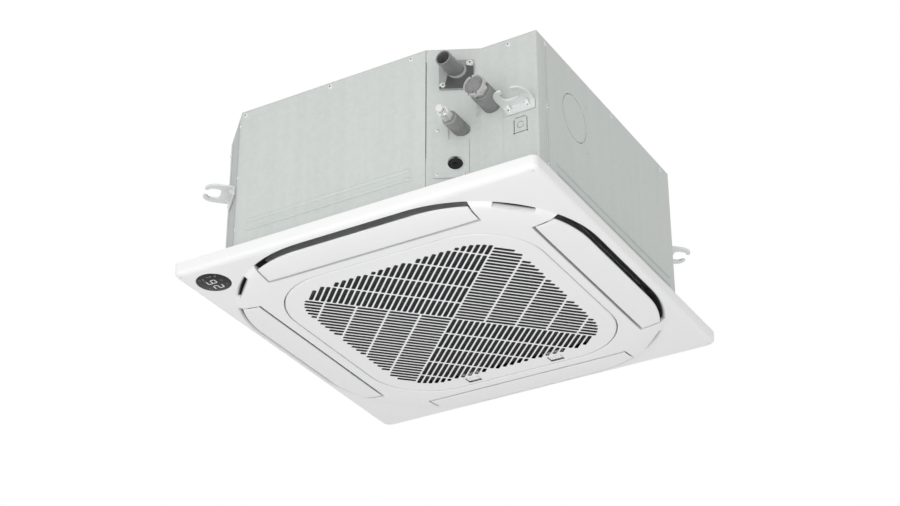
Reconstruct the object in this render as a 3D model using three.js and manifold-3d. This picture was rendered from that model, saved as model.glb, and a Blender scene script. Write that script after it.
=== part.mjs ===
// A compact four-way ceiling cassette air conditioner, in millimetres, +Z up.
// The origin is the middle of the intake grille's lowest face. The front is -Y, the fresh air
// knock-out is on the right side (+X), and the pipes leave at the corner between the two.

import * as THREE from 'three';
import { mergeGeometries, mergeVertices } from 'three/addons/utils/BufferGeometryUtils.js';
import Module from 'manifold-3d';

const wasm = await Module();
wasm.setup();

// ---------------------------------------------------------------- driving dimensions

const seat = 0.3;                   // gap between two pieces that touch

// decoration panel, a square moulding under the ceiling
const panelHalf = 310;
const panelCorner = 10;
const panelWall = 3;
const ceilingZ = 33;
const rimBottomZ = 17.5;
const rimFlange = 6;
const rimWall = 3.5;
const lipHalf = panelHalf - 10;     // outer edge of the air outlets
const lipCorner = 210;
const lipZ = 10;
const blockHalf = lipHalf - 12;     // outline that the louvers and bridges share
const blockCorner = 188;
const blockRise = 4.5;
const ringHalf = blockHalf - 49;    // where the flat ring starts to rise
const ringCorner = 121;
const grilleHalf = ringHalf - 22;
const grilleCorner = 108;
const grilleClearance = 2.5;
const collarTop = 14;
const ductHalf = lipHalf - 26;      // outlet duct's outer wall at the top
const outletHalfLength = blockHalf - 105;
const outletInner = ringHalf - 3.1;
const cornerSlotEnd = blockHalf - 32;       // the corner outlet runs between these two
const cornerSlotStart = blockHalf - 78;

// louvers and their motors
const louverHalfLength = outletHalfLength - 3;
const louverInner = ringHalf + 0.6;
const louverThickness = 2.6;
const louverPivotY = -(ringHalf + 13);
const louverPivotZ = 9;
const louverPin = 2.5;
const pinHole = 3;
const earThickness = 4;
const earRadius = 4;
const earLag = 17;                  // at its ends the louver follows a wider ring
const stepMotorRadius = 11;
const stepMotorLength = 9;
const stepMotorOffset = 10;         // its shaft is off its centre
const stepMotorShaft = 2;

// intake grille
const grilleThickness = 4;
const grilleChamfer = 2.5;
const grilleRimTop = 11;
const grilleRimWall = 2.5;
const fieldHalf = grilleHalf - 30;  // the slotted field
const fieldCorner = 75;
const slotPitch = 9.2;
const slotWidth = 6.4;
const crossRibPitch = 50.7;
const crossRibWidth = 2.8;
const leastSlotArea = 60;
const hingeX = grilleHalf - 117;
const hingeY = -(grilleHalf + 9);    // behind the wall of the panel's opening
const hingeZ = 5.5;
const hingePin = 1.5;
const knuckleRadius = 3.4;
const armHalfWidth = 5;             // arms that reach over the opening's wall to the pins
const armLow = 12.7;
const armTop = 15.5;
const armGap = 0.7;
const hingeFloor = 1.5;             // the panel is thinner under a knuckle
const lugThickness = 2.3;

// grille latches
const latchX = 76;
const latchHalfWidth = 16;
const latchInnerY = grilleHalf - 29.5;
const latchOuterY = grilleHalf - 6.8;
const latchThickness = 2;
const latchTravel = 4;
const tongueHalfWidth = 8;
const tongueTip = grilleHalf - 0.1;
const latchWindow = [grilleHalf - 24.5, grilleHalf - 7];
const latchWindowHalfWidth = 12;
const thumbRidge = [grilleHalf - 23, grilleHalf - 13];
const thumbRidgeHalfWidth = 9;

// air filter
const filterHalf = fieldHalf - 2;
const filterThickness = 4;
const filterFrame = 7;
const filterNet = 1.2;
const filterRibs = 3;

// display
const displayCentre = [-panelHalf + 45, -panelHalf + 45];
const displayRadius = 27;
const displayZ = 10.2;
const displayThickness = 2.6;
const displayWall = 2.5;
const displayBoardHalf = 17;
const displayBoardThickness = 3;
const displayCupTop = 20;

// casing
const bodyHalf = panelHalf - 25;
const bodyChamfer = 70;
const pipingStartX = bodyHalf - 167;        // where the front turns into the slanted piping face
const pipingEndX = bodyHalf - 93.5;
const pipingY = -(bodyHalf - 37);
const casingTop = 291;
const sheet = 1.2;
const returnFlange = 12;            // side panels lap round onto the corner panels
const pipingReturn = 17;
const skirtHeight = 19.8;
const ribHeight = 7.5;
const ribProud = 1.8;
const ribHeights = [73, 87.5];
const ribMargin = 19;
const frontRibEnd = bodyHalf + 23;

// knock-outs
const freshAirFromCorner = 118.4;
const freshAirZ = 202.4;
const freshAirRadius = 38.5;
const freshAirTabs = 8;
const scoreWidth = 1.6;
const wiringFromCorner = 64;
const wiringZ = 134;
const wiringWidth = 21;
const wiringHeight = 25.5;
const wiringHole = 5;

// hanger brackets
const bracketZ = 167;
const bracketThickness = 3;
const bracketHalfWidth = 26;
const bracketReach = 45;
const bracketFlange = 13;           // how far it is folded down the casing
const bracketSlotHalf = 14;
const bracketMouthHalf = 8;
const bracketSlotStart = 19;
const bracketSlotEnd = 36;
const pipingBracketU = 63;

// piping at the slanted face and beside it
const drainFlangeU = 46;
const drainFlangeZ = casingTop - 48;
const drainFlangeHalf = 26;
const drainFlangeThickness = 3;
const drainAxisZ = drainFlangeZ + 8;
const drainPipeRadius = 12.5;
const drainPipeBore = 10;
const drainPipeLength = 41;
const drainHole = 11.5;
const gasU = 18.5;
const gasZ = 185.5;
const gasRadius = 6.35;
const gasSleeveRadius = 16.5;
const gasSleeveLength = 38;
const gasNutRadius = 14;
const gasNutLength = 12;
const gasCapRadius = 17;
const gasCapLength = 7;
const liquidU = 52.6;
const liquidZ = 147.5;
const liquidRadius = 3.2;
const liquidSleeveRadius = 12;
const liquidSleeveLength = 36;
const liquidNutRadius = 9;
const liquidNutLength = 20;
const liquidCapRadius = 6.5;
const liquidCapLength = 10;
const accessU = [12, 34, 64];          // the plate steps down under the liquid pipe
const accessZ = [64, 130, 152];
const drainPlugU = 44;
const drainPlugZ = 89;
const drainPlugRadius = 11;
const drainPlugLength = 14;
const drainPlugRecess = 3;

// drain pan
const panTop = 100;
const panFloor = 60;
const panHoleHalf = bodyHalf - 105;
const panHoleCorner = 60;
const panRebate = 9.5;
const panWall = 7;
const troughInner = bodyHalf - 82;
const troughOuter = bodyHalf - 52;
const pumpPocket = bodyHalf - 125;

// linings
const liner = 8;
const topLiner = 6.2;
const motorOpening = 95;

// bell mouth
const bellFlangeZ = 40;
const bellFlangeHalf = panHoleHalf + 8;
const bellFlangeCorner = panHoleCorner - 1.5;
const bellWall = 2.5;
const bellOuter = 150;
const bellThroat = 105;
const bellCurveTop = 88;
const bellTop = 108;

// turbo fan, shaft and motor, which hang from the top plate
const motorTop = casingTop - 15;
const motorBottom = motorTop - 62;
const fanRadius = 165;
const fanInlet = 112;
const fanBottom = 98;
const shroudRise = 26;
const fanWall = 2.5;
const fanBackZ = motorBottom - 5;
const fanConeBottom = fanBackZ - 21;
const fanHubZ = fanConeBottom - 23;
const fanHubRadius = 14;
const fanConeInner = 28;
const fanConeOuter = 71;
const bladeCount = 7;
const bladeInner = 98;
const bladeSweep = 0.75;
const bladeThickness = 3;
const bladeBottom = 114;
const shaftRadius = 5;
const shaftBottom = fanHubZ - 13;
const shaftTop = motorBottom + 26;
const fanNutHeight = 7;
const fanNutRadius = 9;
const motorRadius = 58;
const motorBoss = 20;
const motorBossHeight = 6;
const mountRadius = 45;
const mountReach = 80;
const mountPlate = 2.5;
const mountArmHalf = 10;

// heat exchanger
const coilOuter = bodyHalf - 55;
const coilOuterCorner = 72;
const coilDepth = 24;
const coilInner = coilOuter - coilDepth;
const coilInnerCorner = coilOuterCorner - coilDepth;
const coilEndX = coilOuter - 78;
const coilEndY = -(coilOuter - 80);
const coilTop = casingTop - 8;
const endPlate = 1.5;
const returnBends = 6;
const bendThickness = 7;
const returnBendRadius = 8;

// drain pump and float switch
const pumpX = bodyHalf - 80;
const pumpY = -(bodyHalf - 90);
const pumpRadius = 24;
const pumpBottom = 95;
const pumpTop = 160;
const pumpFootRadius = 15;
const pumpFootZ = 62;
const pumpOutletX = pumpX - 17;
const pumpOutletRadius = 7;
const pumpOutletHeight = 12;
const hoseRadius = 9.5;
const pumpPlate = 2;
const pumpPlateX = [pumpX - 43, pumpX + 25];
const pumpFlangeX = pumpX - 9;
const pumpPlateY = pumpY + 35;
const pumpFlangeDrop = 22;
const floatX = pumpX - 31;
const floatY = pumpY + 22;
const floatRadius = 11;
const floatHeight = 16;
const floatStem = 4;
const floatBore = 4.6;
const floatStop = 6.5;
const floatStopZ = 62;

// control box in the return air space
const boxX = [-(bellFlangeHalf - 2), -(bellFlangeHalf - 58)];
const boxHalfLength = 110;
const boxBottom = 17.3;
const boardInset = 4;
const boardThickness = 1.6;
const terminalLength = 34;
const relayEnd = 34;
const converterEnd = 44;

// facets
const cornerSteps = 6;
const roundSides = 32;
const pipeSides = 16;
const smallSides = 10;

// ---------------------------------------------------------------- geometry helpers

const yUp = new THREE.Vector3(0, 1, 0);

function signedVolume(positions, triangles) {
  const corners = [new THREE.Vector3(), new THREE.Vector3(), new THREE.Vector3()];
  let volume = 0;
  for (let i = 0; i < triangles.length; i += 3) {
    corners.forEach((corner, k) => corner.fromArray(positions, 3 * triangles[i + k]));
    volume += corners[0].dot(corners[1].cross(corners[2])) / 6;
  }
  return volume;
}

function toSolid(geometry) {
  const bare = geometry.clone();
  bare.deleteAttribute('normal');
  bare.deleteAttribute('uv');
  const merged = mergeVertices(bare, 1e-4);
  const vertProperties = Float32Array.from(merged.attributes.position.array);
  const triVerts = Uint32Array.from(merged.index.array);
  if (signedVolume(vertProperties, triVerts) < 0) {
    triVerts.reverse();
  }
  return new wasm.Manifold(new wasm.Mesh({ numProp: 3, vertProperties, triVerts }));
}

function fromSolid(body) {
  const mesh = body.getMesh();
  const geometry = new THREE.BufferGeometry();
  geometry.setAttribute('position', new THREE.BufferAttribute(mesh.vertProperties, 3));
  geometry.setIndex(new THREE.BufferAttribute(mesh.triVerts, 1));
  geometry.computeVertexNormals();
  return geometry;
}

function join(first, ...others) {
  return fromSolid(others.reduce((sum, other) => sum.add(toSolid(other)), toSolid(first)));
}

function cut(first, ...others) {
  return fromSolid(others.reduce((rest, other) => rest.subtract(toSolid(other)), toSolid(first)));
}

function common(first, ...others) {
  return fromSolid(others.reduce((rest, other) => rest.intersect(toSolid(other)), toSolid(first)));
}

function box([x0, x1], [y0, y1], [z0, z1]) {
  return new THREE.BoxGeometry(x1 - x0, y1 - y0, z1 - z0)
    .translate((x0 + x1) / 2, (y0 + y1) / 2, (z0 + z1) / 2);
}

// an outline in X and Y, raised from low to high
function prism(outline, low, high, holes = []) {
  const shape = new THREE.Shape(outline.map(([x, y]) => new THREE.Vector2(x, y)));
  shape.holes = holes.map((hole) => new THREE.Path(hole.map(([x, y]) => new THREE.Vector2(x, y))));
  const options = { depth: high - low, bevelEnabled: false };
  return new THREE.ExtrudeGeometry(shape, options).translate(0, 0, low);
}

// an outline in Y and Z, run along X from low to high
function bar(outline, low, high) {
  const turn = new THREE.Matrix4().makeBasis(
    new THREE.Vector3(0, 1, 0), new THREE.Vector3(0, 0, 1), new THREE.Vector3(1, 0, 0));
  return prism(outline, low, high).applyMatrix4(turn);
}

function rod(radius, from, to, sides = pipeSides) {
  const start = new THREE.Vector3(...from);
  const axis = new THREE.Vector3(...to).sub(start);
  const turn = new THREE.Quaternion().setFromUnitVectors(yUp, axis.clone().normalize());
  const middle = start.addScaledVector(axis, 0.5);
  return new THREE.CylinderGeometry(radius, radius, axis.length(), sides)
    .applyQuaternion(turn)
    .translate(middle.x, middle.y, middle.z);
}

// a profile of [radius, z] points turned about Z
function lathe(profile, sides = roundSides) {
  const points = profile.map(([radius, z]) => new THREE.Vector2(radius, z));
  return new THREE.LatheGeometry(points, sides).rotateX(Math.PI / 2);
}

function pipeAlong(points, radius, steps, sides) {
  const curve = new THREE.CatmullRomCurve3(points.map((point) => new THREE.Vector3(...point)));
  const section = new THREE.Shape(circle(radius, sides).map(([x, y]) => new THREE.Vector2(x, y)));
  return new THREE.ExtrudeGeometry(section, { extrudePath: curve, steps, bevelEnabled: false });
}

function arc([cx, cy], radius, from, to, steps) {
  return Array.from({ length: steps + 1 }, (_, i) => {
    const angle = from + (to - from) * i / steps;
    return [cx + radius * Math.cos(angle), cy + radius * Math.sin(angle)];
  });
}

function circle(radius, sides, centre = [0, 0]) {
  return arc(centre, radius, 0, 2 * Math.PI, sides).slice(0, sides);
}

function roundedSquare(half, corner, steps = cornerSteps) {
  const inset = half - corner;
  const centres = [[inset, inset], [-inset, inset], [-inset, -inset], [inset, -inset]];
  return centres.flatMap((centre, quarter) => {
    const start = quarter * Math.PI / 2;
    return arc(centre, corner, start, start + Math.PI / 2, steps);
  });
}

function rings(sections) {
  const points = sections.flatMap(([half, corner, z]) =>
    roundedSquare(half, corner).map(([x, y]) => [x, y, z]));
  return { points, count: points.length / sections.length };
}

function skin(index, count, ringA, ringB) {
  for (let i = 0; i < count; i += 1) {
    const next = (i + 1) % count;
    const [a, b] = [ringA * count + i, ringA * count + next];
    const [c, d] = [ringB * count + i, ringB * count + next];
    index.push(a, b, c, b, d, c);
  }
}

function indexed(points, index) {
  const geometry = new THREE.BufferGeometry();
  geometry.setAttribute('position', new THREE.Float32BufferAttribute(points.flat(), 3));
  geometry.setIndex(index);
  return geometry;
}

// a closed hoop, from rounded squares [half, corner, z] listed round its wall's section
function hoop(sections) {
  const { points, count } = rings(sections);
  const index = [];
  sections.forEach((_, i) => skin(index, count, i, (i + 1) % sections.length));
  return indexed(points, index);
}

// a block through rounded squares [half, corner, z] listed from the bottom up
function stack(sections) {
  const { points, count } = rings(sections);
  const index = [];
  sections.slice(1).forEach((_, i) => skin(index, count, i, i + 1));
  const top = (sections.length - 1) * count;
  for (let i = 1; i < count - 1; i += 1) {
    index.push(0, i + 1, i, top, top + i, top + i + 1);
  }
  return indexed(points, index);
}

function quarterTurn(geometry, quarter) {
  return geometry.clone().rotateZ(quarter * Math.PI / 2);
}

function aroundFour(geometry) {
  return [0, 1, 2, 3].map((quarter) => quarterTurn(geometry, quarter));
}

// ---------------------------------------------------------------- outlines and faces

// casing outline seen from above, anticlockwise; the names tell where each edge starts
const outline = [
  [-bodyHalf + bodyChamfer, -bodyHalf],
  [pipingStartX, -bodyHalf],
  [pipingEndX, pipingY],
  [bodyHalf, pipingY],
  [bodyHalf, bodyHalf - bodyChamfer],
  [bodyHalf - bodyChamfer, bodyHalf],
  [-bodyHalf + bodyChamfer, bodyHalf],
  [-bodyHalf, bodyHalf - bodyChamfer],
  [-bodyHalf, -bodyHalf + bodyChamfer],
];
const edgeNames = [
  'front', 'slanted', 'piping', 'right', 'backRight', 'back', 'backLeft', 'left', 'frontLeft',
];
const edges = Object.fromEntries(edgeNames.map((name, i) => [name, i]));

function edgeEnds(edge) {
  return [outline[edge], outline[(edge + 1) % outline.length]];
}

function edgeLength(edge) {
  const [[ax, ay], [bx, by]] = edgeEnds(edge);
  return Math.hypot(bx - ax, by - ay);
}

function alongEdge(edge, distance) {
  const [[ax, ay], [bx, by]] = edgeEnds(edge);
  const share = distance / edgeLength(edge);
  return [ax + (bx - ax) * share, ay + (by - ay) * share];
}

// a face's own axes: X along the face from where its edge starts, Y up, Z outward
function faceFrame(edge) {
  const [[ax, ay], [bx, by]] = edgeEnds(edge);
  const along = new THREE.Vector3(bx - ax, by - ay, 0).normalize();
  const up = new THREE.Vector3(0, 0, 1);
  const outward = along.clone().cross(up);
  return new THREE.Matrix4().makeBasis(along, up, outward).setPosition(ax, ay, 0);
}

function onFace(edge, geometry) {
  return geometry.clone().applyMatrix4(faceFrame(edge));
}

function facePoint(edge, u, z, w = 0) {
  return new THREE.Vector3(u, z, w).applyMatrix4(faceFrame(edge)).toArray();
}

// moves a path sideways by a distance to its left, keeping its corners sharp
function offsetPath(path, distance, closed) {
  const count = path.length;
  const direction = (i) => {
    const [ax, ay] = path[(i + count) % count];
    const [bx, by] = path[(i + 1) % count];
    const length = Math.hypot(bx - ax, by - ay);
    return [(bx - ax) / length, (by - ay) / length];
  };
  return path.map(([x, y], i) => {
    const before = closed || i > 0 ? direction(i - 1) : direction(i);
    const after = closed || i < count - 1 ? direction(i) : before;
    const [nx, ny] = [-(before[1] + after[1]), before[0] + after[0]];
    const scale = 2 * distance / (nx * nx + ny * ny);
    return [x + nx * scale, y + ny * scale];
  });
}

function insetOutline(distance) {
  return offsetPath(outline, distance, true);
}

function wallAlong(path, thickness, low, high) {
  return prism([...path, ...offsetPath(path, thickness, false).reverse()], low, high);
}

// ---------------------------------------------------------------- panel and louvers

// height of the underside over the outlet ring, flat at first and then rising outward
function blockZ(half) {
  const share = Math.max(0, half - ringHalf) / (blockHalf - ringHalf);
  return blockRise * share * share;
}

function blockCornerAt(half) {
  return ringCorner + (blockCorner - ringCorner) * (half - ringHalf) / (blockHalf - ringHalf);
}

const openingHalf = grilleHalf + grilleClearance;
const openingCorner = grilleCorner + grilleClearance;
const casingBottom = ceilingZ + seat;
const wallTop = casingTop - sheet - seat;

// the rising block round the grille, which the louvers are cut out of
function blockSections(lift = 0) {
  const steps = 3;
  return Array.from({ length: steps + 1 }, (_, i) => {
    const half = ringHalf + (blockHalf - ringHalf) * i / steps;
    return [half, blockCornerAt(half), blockZ(half) + lift];
  });
}

function undersideSections() {
  return [
    [openingHalf, openingCorner, 0],
    ...blockSections(),
    [(blockHalf + lipHalf) / 2, (blockCorner + lipCorner) / 2, (blockRise + lipZ) / 2],
    [lipHalf, lipCorner, lipZ],
    [panelHalf - 7, panelCorner + 10, lipZ + 1.2],
    [panelHalf - 3.5, panelCorner + 4, lipZ + 2.6],
    [panelHalf - 1, panelCorner + 1, lipZ + 5],
    [panelHalf, panelCorner, rimBottomZ],
  ];
}

function panelShell() {
  const underside = undersideSections();
  const upperSide = underside.slice(0, -3).map(([half, corner, z]) => [half, corner, z + panelWall]);
  const collar = openingHalf + panelWall;
  const inside = panelHalf - rimWall;
  upperSide[0] = [collar, openingCorner + panelWall, panelWall];
  return hoop([
    ...underside,
    [panelHalf, panelCorner, ceilingZ],
    [panelHalf - rimFlange, panelCorner, ceilingZ],
    [panelHalf - rimFlange, panelCorner, ceilingZ - panelWall],
    [inside, panelCorner, ceilingZ - panelWall - 1],
    [inside, panelCorner, rimBottomZ],
    ...upperSide.reverse(),
    [collar, openingCorner + panelWall, collarTop],
    [openingHalf, openingCorner, collarTop],
  ]);
}

// everything above the panel's underside, up to the ceiling
function spaceOverPanel() {
  return hoop([
    ...undersideSections(),
    [panelHalf, panelCorner, ceilingZ],
    [openingHalf, openingCorner, ceilingZ],
  ]);
}

// the outlets' slanting outer wall, grown by a margin
function ductSpace(margin) {
  return stack([
    [lipHalf + margin, lipCorner + margin, -lipZ],
    [lipHalf + margin, lipCorner + margin, lipZ],
    [ductHalf + margin, lipCorner - lipHalf + ductHalf + margin, ceilingZ + (margin ? 0 : 1)],
  ]);
}

function sideOutlet(margin) {
  const reach = outletHalfLength + margin;
  const block = box([-reach, reach], [-panelHalf, -outletInner + margin], [-lipZ, 2 * ceilingZ]);
  return common(ductSpace(margin), block);
}

function cornerOutlet(margin) {
  const back = margin / Math.SQRT2;
  const start = [cornerSlotStart - 2 * back, cornerSlotEnd];
  const end = [cornerSlotEnd, cornerSlotStart - 2 * back];
  const far = panelHalf;
  const area = [start, end, [end[0] + far, end[1] + far], [start[0] + far, start[1] + far]];
  return common(ductSpace(margin), prism(area, -lipZ, 2 * ceilingZ));
}

// where a grille arm passes the wall of the opening
function armSlot(x) {
  const reach = armHalfWidth + armGap;
  return box(
    [x - reach, x + reach], [hingeY - knuckleRadius - armGap, -openingHalf + 1], [hingeFloor, collarTop + 1]);
}

function hingeLugs(x) {
  const [near, far] = [armHalfWidth + armGap, armHalfWidth + armGap + lugThickness];
  const lugs = [-1, 1].map((side) => {
    const ends = [x + side * near, x + side * far].sort((a, b) => a - b);
    return box(ends, [hingeY - 3, hingeY + 3], [panelWall - 1, hingeZ + 3]);
  });
  const pin = rod(hingePin, [x - near - 1, hingeY, hingeZ], [x + near + 1, hingeY, hingeZ], smallSides);
  return [...lugs, pin];
}

function displayCup() {
  const [x, y] = displayCentre;
  return rod(displayRadius + displayWall, [x, y, displayZ + 2], [x, y, displayCupTop], 32);
}

function displayHole() {
  const [x, y] = displayCentre;
  return rod(displayRadius + seat, [x, y, 0], [x, y, displayCupTop + 1], 32);
}

function decorationPanel() {
  const space = spaceOverPanel();
  const outletCollars = aroundFour(common(sideOutlet(panelWall), space));
  const cornerCollars = aroundFour(common(cornerOutlet(panelWall), space));
  const moulding = join(panelShell(), ...outletCollars, ...cornerCollars, displayCup());
  const pinBore = rod(
    pinHole, [-outletHalfLength - 5, louverPivotY, louverPivotZ],
    [outletHalfLength + 5, louverPivotY, louverPivotZ], smallSides);
  const tongueSlots = [-latchX, latchX].map((x) => box(
    [x - tongueHalfWidth - 1, x + tongueHalfWidth + 1], [openingHalf - 1, openingHalf + panelWall + 1],
    [latchLow - 0.5, latchLow + latchThickness + 0.5]));
  const opened = cut(
    moulding, ...aroundFour(sideOutlet(0)), ...aroundFour(cornerOutlet(0)),
    ...aroundFour(pinBore), ...tongueSlots, armSlot(-hingeX), armSlot(hingeX), displayHole());
  return join(opened, ...hingeLugs(-hingeX), ...hingeLugs(hingeX));
}

// the front louver; the other three are turned copies of it
function louver() {
  const sheetOfBlock = hoop([...blockSections(), ...blockSections(louverThickness).reverse()]);
  const vane = common(sheetOfBlock, box(
    [-louverHalfLength, louverHalfLength], [-panelHalf, -louverInner],
    [-1, blockRise + louverThickness + 1]));
  const earBase = (reach) => [-reach, blockZ(reach + earLag) + louverThickness / 2];
  const earOutline = [
    ...arc([louverPivotY, louverPivotZ], earRadius, -0.2, Math.PI + 0.2, 8),
    earBase(-louverPivotY + 9), earBase(-louverPivotY - 9),
  ];
  const ears = [-1, 1].map((side) => {
    const inner = side * (louverHalfLength - earThickness);
    const [low, high] = [inner, side * louverHalfLength].sort((a, b) => a - b);
    return bar(earOutline, low, high);
  });
  const freeEnd = outletHalfLength + panelWall - seat;
  const pivot = (x) => [x, louverPivotY, louverPivotZ];
  const freePin = rod(louverPin, pivot(-louverHalfLength + 1), pivot(-freeEnd), smallSides);
  const drivenPin = rod(louverPin, pivot(louverHalfLength - 1), pivot(louverHalfLength + 2), smallSides);
  return join(vane, ...ears, freePin, drivenPin);
}

function louverMotor() {
  const start = outletHalfLength + panelWall + seat;
  const centreZ = louverPivotZ + stepMotorOffset;
  const can = rod(
    stepMotorRadius, [start, louverPivotY, centreZ],
    [start + stepMotorLength, louverPivotY, centreZ], pipeSides);
  const shaft = rod(
    stepMotorShaft, [louverHalfLength + 2 + seat, louverPivotY, louverPivotZ],
    [start + 1, louverPivotY, louverPivotZ], smallSides);
  return join(can, shaft);
}

// ---------------------------------------------------------------- intake grille

// keeps the part of a convex outline that lies inside another convex outline
function clip(subject, window) {
  return window.reduce((kept, [ax, ay], i) => {
    const [bx, by] = window[(i + 1) % window.length];
    const side = ([x, y]) => (bx - ax) * (y - ay) - (by - ay) * (x - ax);
    return kept.flatMap((point, k) => {
      const next = kept[(k + 1) % kept.length];
      const [here, there] = [side(point), side(next)];
      const crossing = here * there < 0;
      const share = here / (here - there);
      const cutPoint = [point[0] + (next[0] - point[0]) * share, point[1] + (next[1] - point[1]) * share];
      return [...(here >= 0 ? [point] : []), ...(crossing ? [cutPoint] : [])];
    });
  }, subject);
}

// leaves out points that fall on the one before them
function withoutRepeats(points) {
  return points.filter(([x, y], i) => {
    const [lastX, lastY] = points[(i + points.length - 1) % points.length];
    return Math.hypot(x - lastX, y - lastY) > 0.05;
  });
}

function area(points) {
  return Math.abs(points.reduce((sum, [x, y], i) => {
    const [nextX, nextY] = points[(i + 1) % points.length];
    return sum + x * nextY - nextX * y;
  }, 0)) / 2;
}

// the front quarter's slots: rows step away from one diagonal and run along it,
// and every quarter is the one before it turned by a right angle
function quarterSlots() {
  const field = roundedSquare(fieldHalf, fieldCorner);
  const reach = fieldHalf * Math.SQRT2;
  const place = (along, away) => [(along - away) / Math.SQRT2, (-along - away) / Math.SQRT2];
  const slots = [];
  for (let away = slotPitch / 2; away < reach; away += slotPitch) {
    for (let start = 0; start < reach; start += crossRibPitch) {
      const [near, far] = [start + crossRibWidth / 2, start + crossRibPitch - crossRibWidth / 2];
      const [low, high] = [away - slotWidth / 2, away + slotWidth / 2];
      const corners = [place(near, high), place(far, high), place(far, low), place(near, low)];
      const slot = withoutRepeats(clip(corners, field));
      if (slot.length > 2 && area(slot) > leastSlotArea) {
        slots.push(slot);
      }
    }
  }
  return slots;
}

function turnPoints(points, quarter) {
  const [c, s] = [Math.round(Math.cos(quarter * Math.PI / 2)), Math.round(Math.sin(quarter * Math.PI / 2))];
  return points.map(([x, y]) => [c * x - s * y, s * x + c * y]);
}

const latchLow = grilleThickness + seat;

function latchGuides(x) {
  const low = grilleThickness - 1;
  const high = latchLow + latchThickness + seat;
  const length = [latchInnerY + 2, latchOuterY - 4];
  return [-1, 1].flatMap((side) => {
    const wall = [side * (latchHalfWidth + seat), side * (latchHalfWidth + seat + 2)].map((d) => x + d);
    const lip = [side * (latchHalfWidth - 3), side * (latchHalfWidth + seat + 2)].map((d) => x + d);
    wall.sort((a, b) => a - b);
    lip.sort((a, b) => a - b);
    return [box(wall, length, [low, high + 1.5]), box(lip, length, [high, high + 1.5])];
  });
}

// reaches from the grille's rim over the opening's wall down to the hinge pin
function hingeArm(x) {
  const rimInner = -grilleHalf + grilleRimWall;
  const [outside, inside] = [hingeY - knuckleRadius, hingeY + knuckleRadius - 0.8];
  const outline = [
    ...arc([hingeY, hingeZ], knuckleRadius, Math.PI, 2 * Math.PI + 0.7, 8),
    [inside, armLow], [-grilleHalf, armLow], [-grilleHalf, grilleRimTop - 1],
    [rimInner, grilleRimTop - 1], [rimInner, armTop], [outside + 3, armTop], [outside, armTop - 3],
  ];
  const [low, high] = [x - armHalfWidth, x + armHalfWidth];
  const bore = rod(hingePin + seat, [low - 1, hingeY, hingeZ], [high + 1, hingeY, hingeZ], smallSides);
  return cut(bar(outline, low, high), bore);
}

function intakeGrille() {
  const slots = quarterSlots();
  const allSlots = [0, 1, 2, 3].flatMap((quarter) => slots.map((slot) => turnPoints(slot, quarter)));
  const border = fieldHalf + 6;
  const plate = prism(roundedSquare(border, fieldCorner + 6), 0, grilleThickness);
  const openings = mergeGeometries(allSlots.map((slot) => prism(slot, -1, grilleThickness + 1)));
  const rimInner = grilleHalf - grilleRimWall;
  const rim = hoop([
    [border - 3, fieldCorner + 3, 0],
    [grilleHalf - grilleChamfer, grilleCorner - grilleChamfer, 0],
    [grilleHalf, grilleCorner, grilleChamfer],
    [grilleHalf, grilleCorner, grilleRimTop],
    [rimInner, grilleCorner - grilleRimWall, grilleRimTop],
    [rimInner, grilleCorner - grilleRimWall, grilleThickness],
    [border - 3, fieldCorner + 3, grilleThickness],
  ]);
  const windows = [-latchX, latchX].map((x) => box(
    [x - latchWindowHalfWidth, x + latchWindowHalfWidth], latchWindow, [-1, grilleThickness + 1]));
  const tongueWays = [-latchX, latchX].map((x) => box(
    [x - tongueHalfWidth - 1, x + tongueHalfWidth + 1], [rimInner - 1, grilleHalf + 1],
    [latchLow - 0.5, latchLow + latchThickness + 0.5]));
  const opened = cut(join(plate, rim), openings, ...windows, ...tongueWays);
  return join(
    opened, ...latchGuides(-latchX), ...latchGuides(latchX), hingeArm(-hingeX), hingeArm(hingeX));
}

function latch(x) {
  const high = latchLow + latchThickness;
  const plate = box([x - latchHalfWidth, x + latchHalfWidth], [latchInnerY, latchOuterY], [latchLow, high]);
  const tongue = box(
    [x - tongueHalfWidth, x + tongueHalfWidth], [latchOuterY - 1, tongueTip], [latchLow, high]);
  const ridge = box(
    [x - thumbRidgeHalfWidth, x + thumbRidgeHalfWidth], thumbRidge, [1, latchLow + 0.5]);
  return join(plate, tongue, ridge);
}

function airFilter() {
  const corner = fieldCorner - 2;
  const low = grilleThickness + seat;
  const high = low + filterThickness;
  const inner = filterHalf - filterFrame;
  const frame = hoop([
    [filterHalf, corner, low], [filterHalf, corner, high],
    [inner, corner - filterFrame, high], [inner, corner - filterFrame, low],
  ]);
  const net = prism(roundedSquare(inner + 1, corner - filterFrame + 1), low + 1, low + 1 + filterNet);
  const ribs = Array.from({ length: filterRibs }, (_, i) => {
    const x = -inner + 2 * inner * (i + 1) / (filterRibs + 1);
    return box([x - 2, x + 2], [-inner - 1, inner + 1], [low + 0.5, high - 0.5]);
  });
  return join(frame, net, ...ribs);
}

// ---------------------------------------------------------------- casing

function embossedRibs(edge, from, to) {
  return ribHeights.map((z) => onFace(edge, bar([
    [z - ribHeight / 2, -sheet / 2], [z + ribHeight / 2, -sheet / 2],
    [z + ribHeight / 2, 0], [z + ribHeight / 4, ribProud],
    [z - ribHeight / 4, ribProud], [z - ribHeight / 2, 0],
  ], from, to)));
}

function sideWall(path, edge, ribEnd) {
  const wall = wallAlong(path, sheet, casingBottom, wallTop);
  return join(wall, ...embossedRibs(edge, ribMargin, ribEnd));
}

function frontPanel() {
  const path = [
    alongEdge(edges.frontLeft, edgeLength(edges.frontLeft) - returnFlange),
    outline[edges.front], outline[edges.slanted],
  ];
  return sideWall(path, edges.front, frontRibEnd);
}

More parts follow.
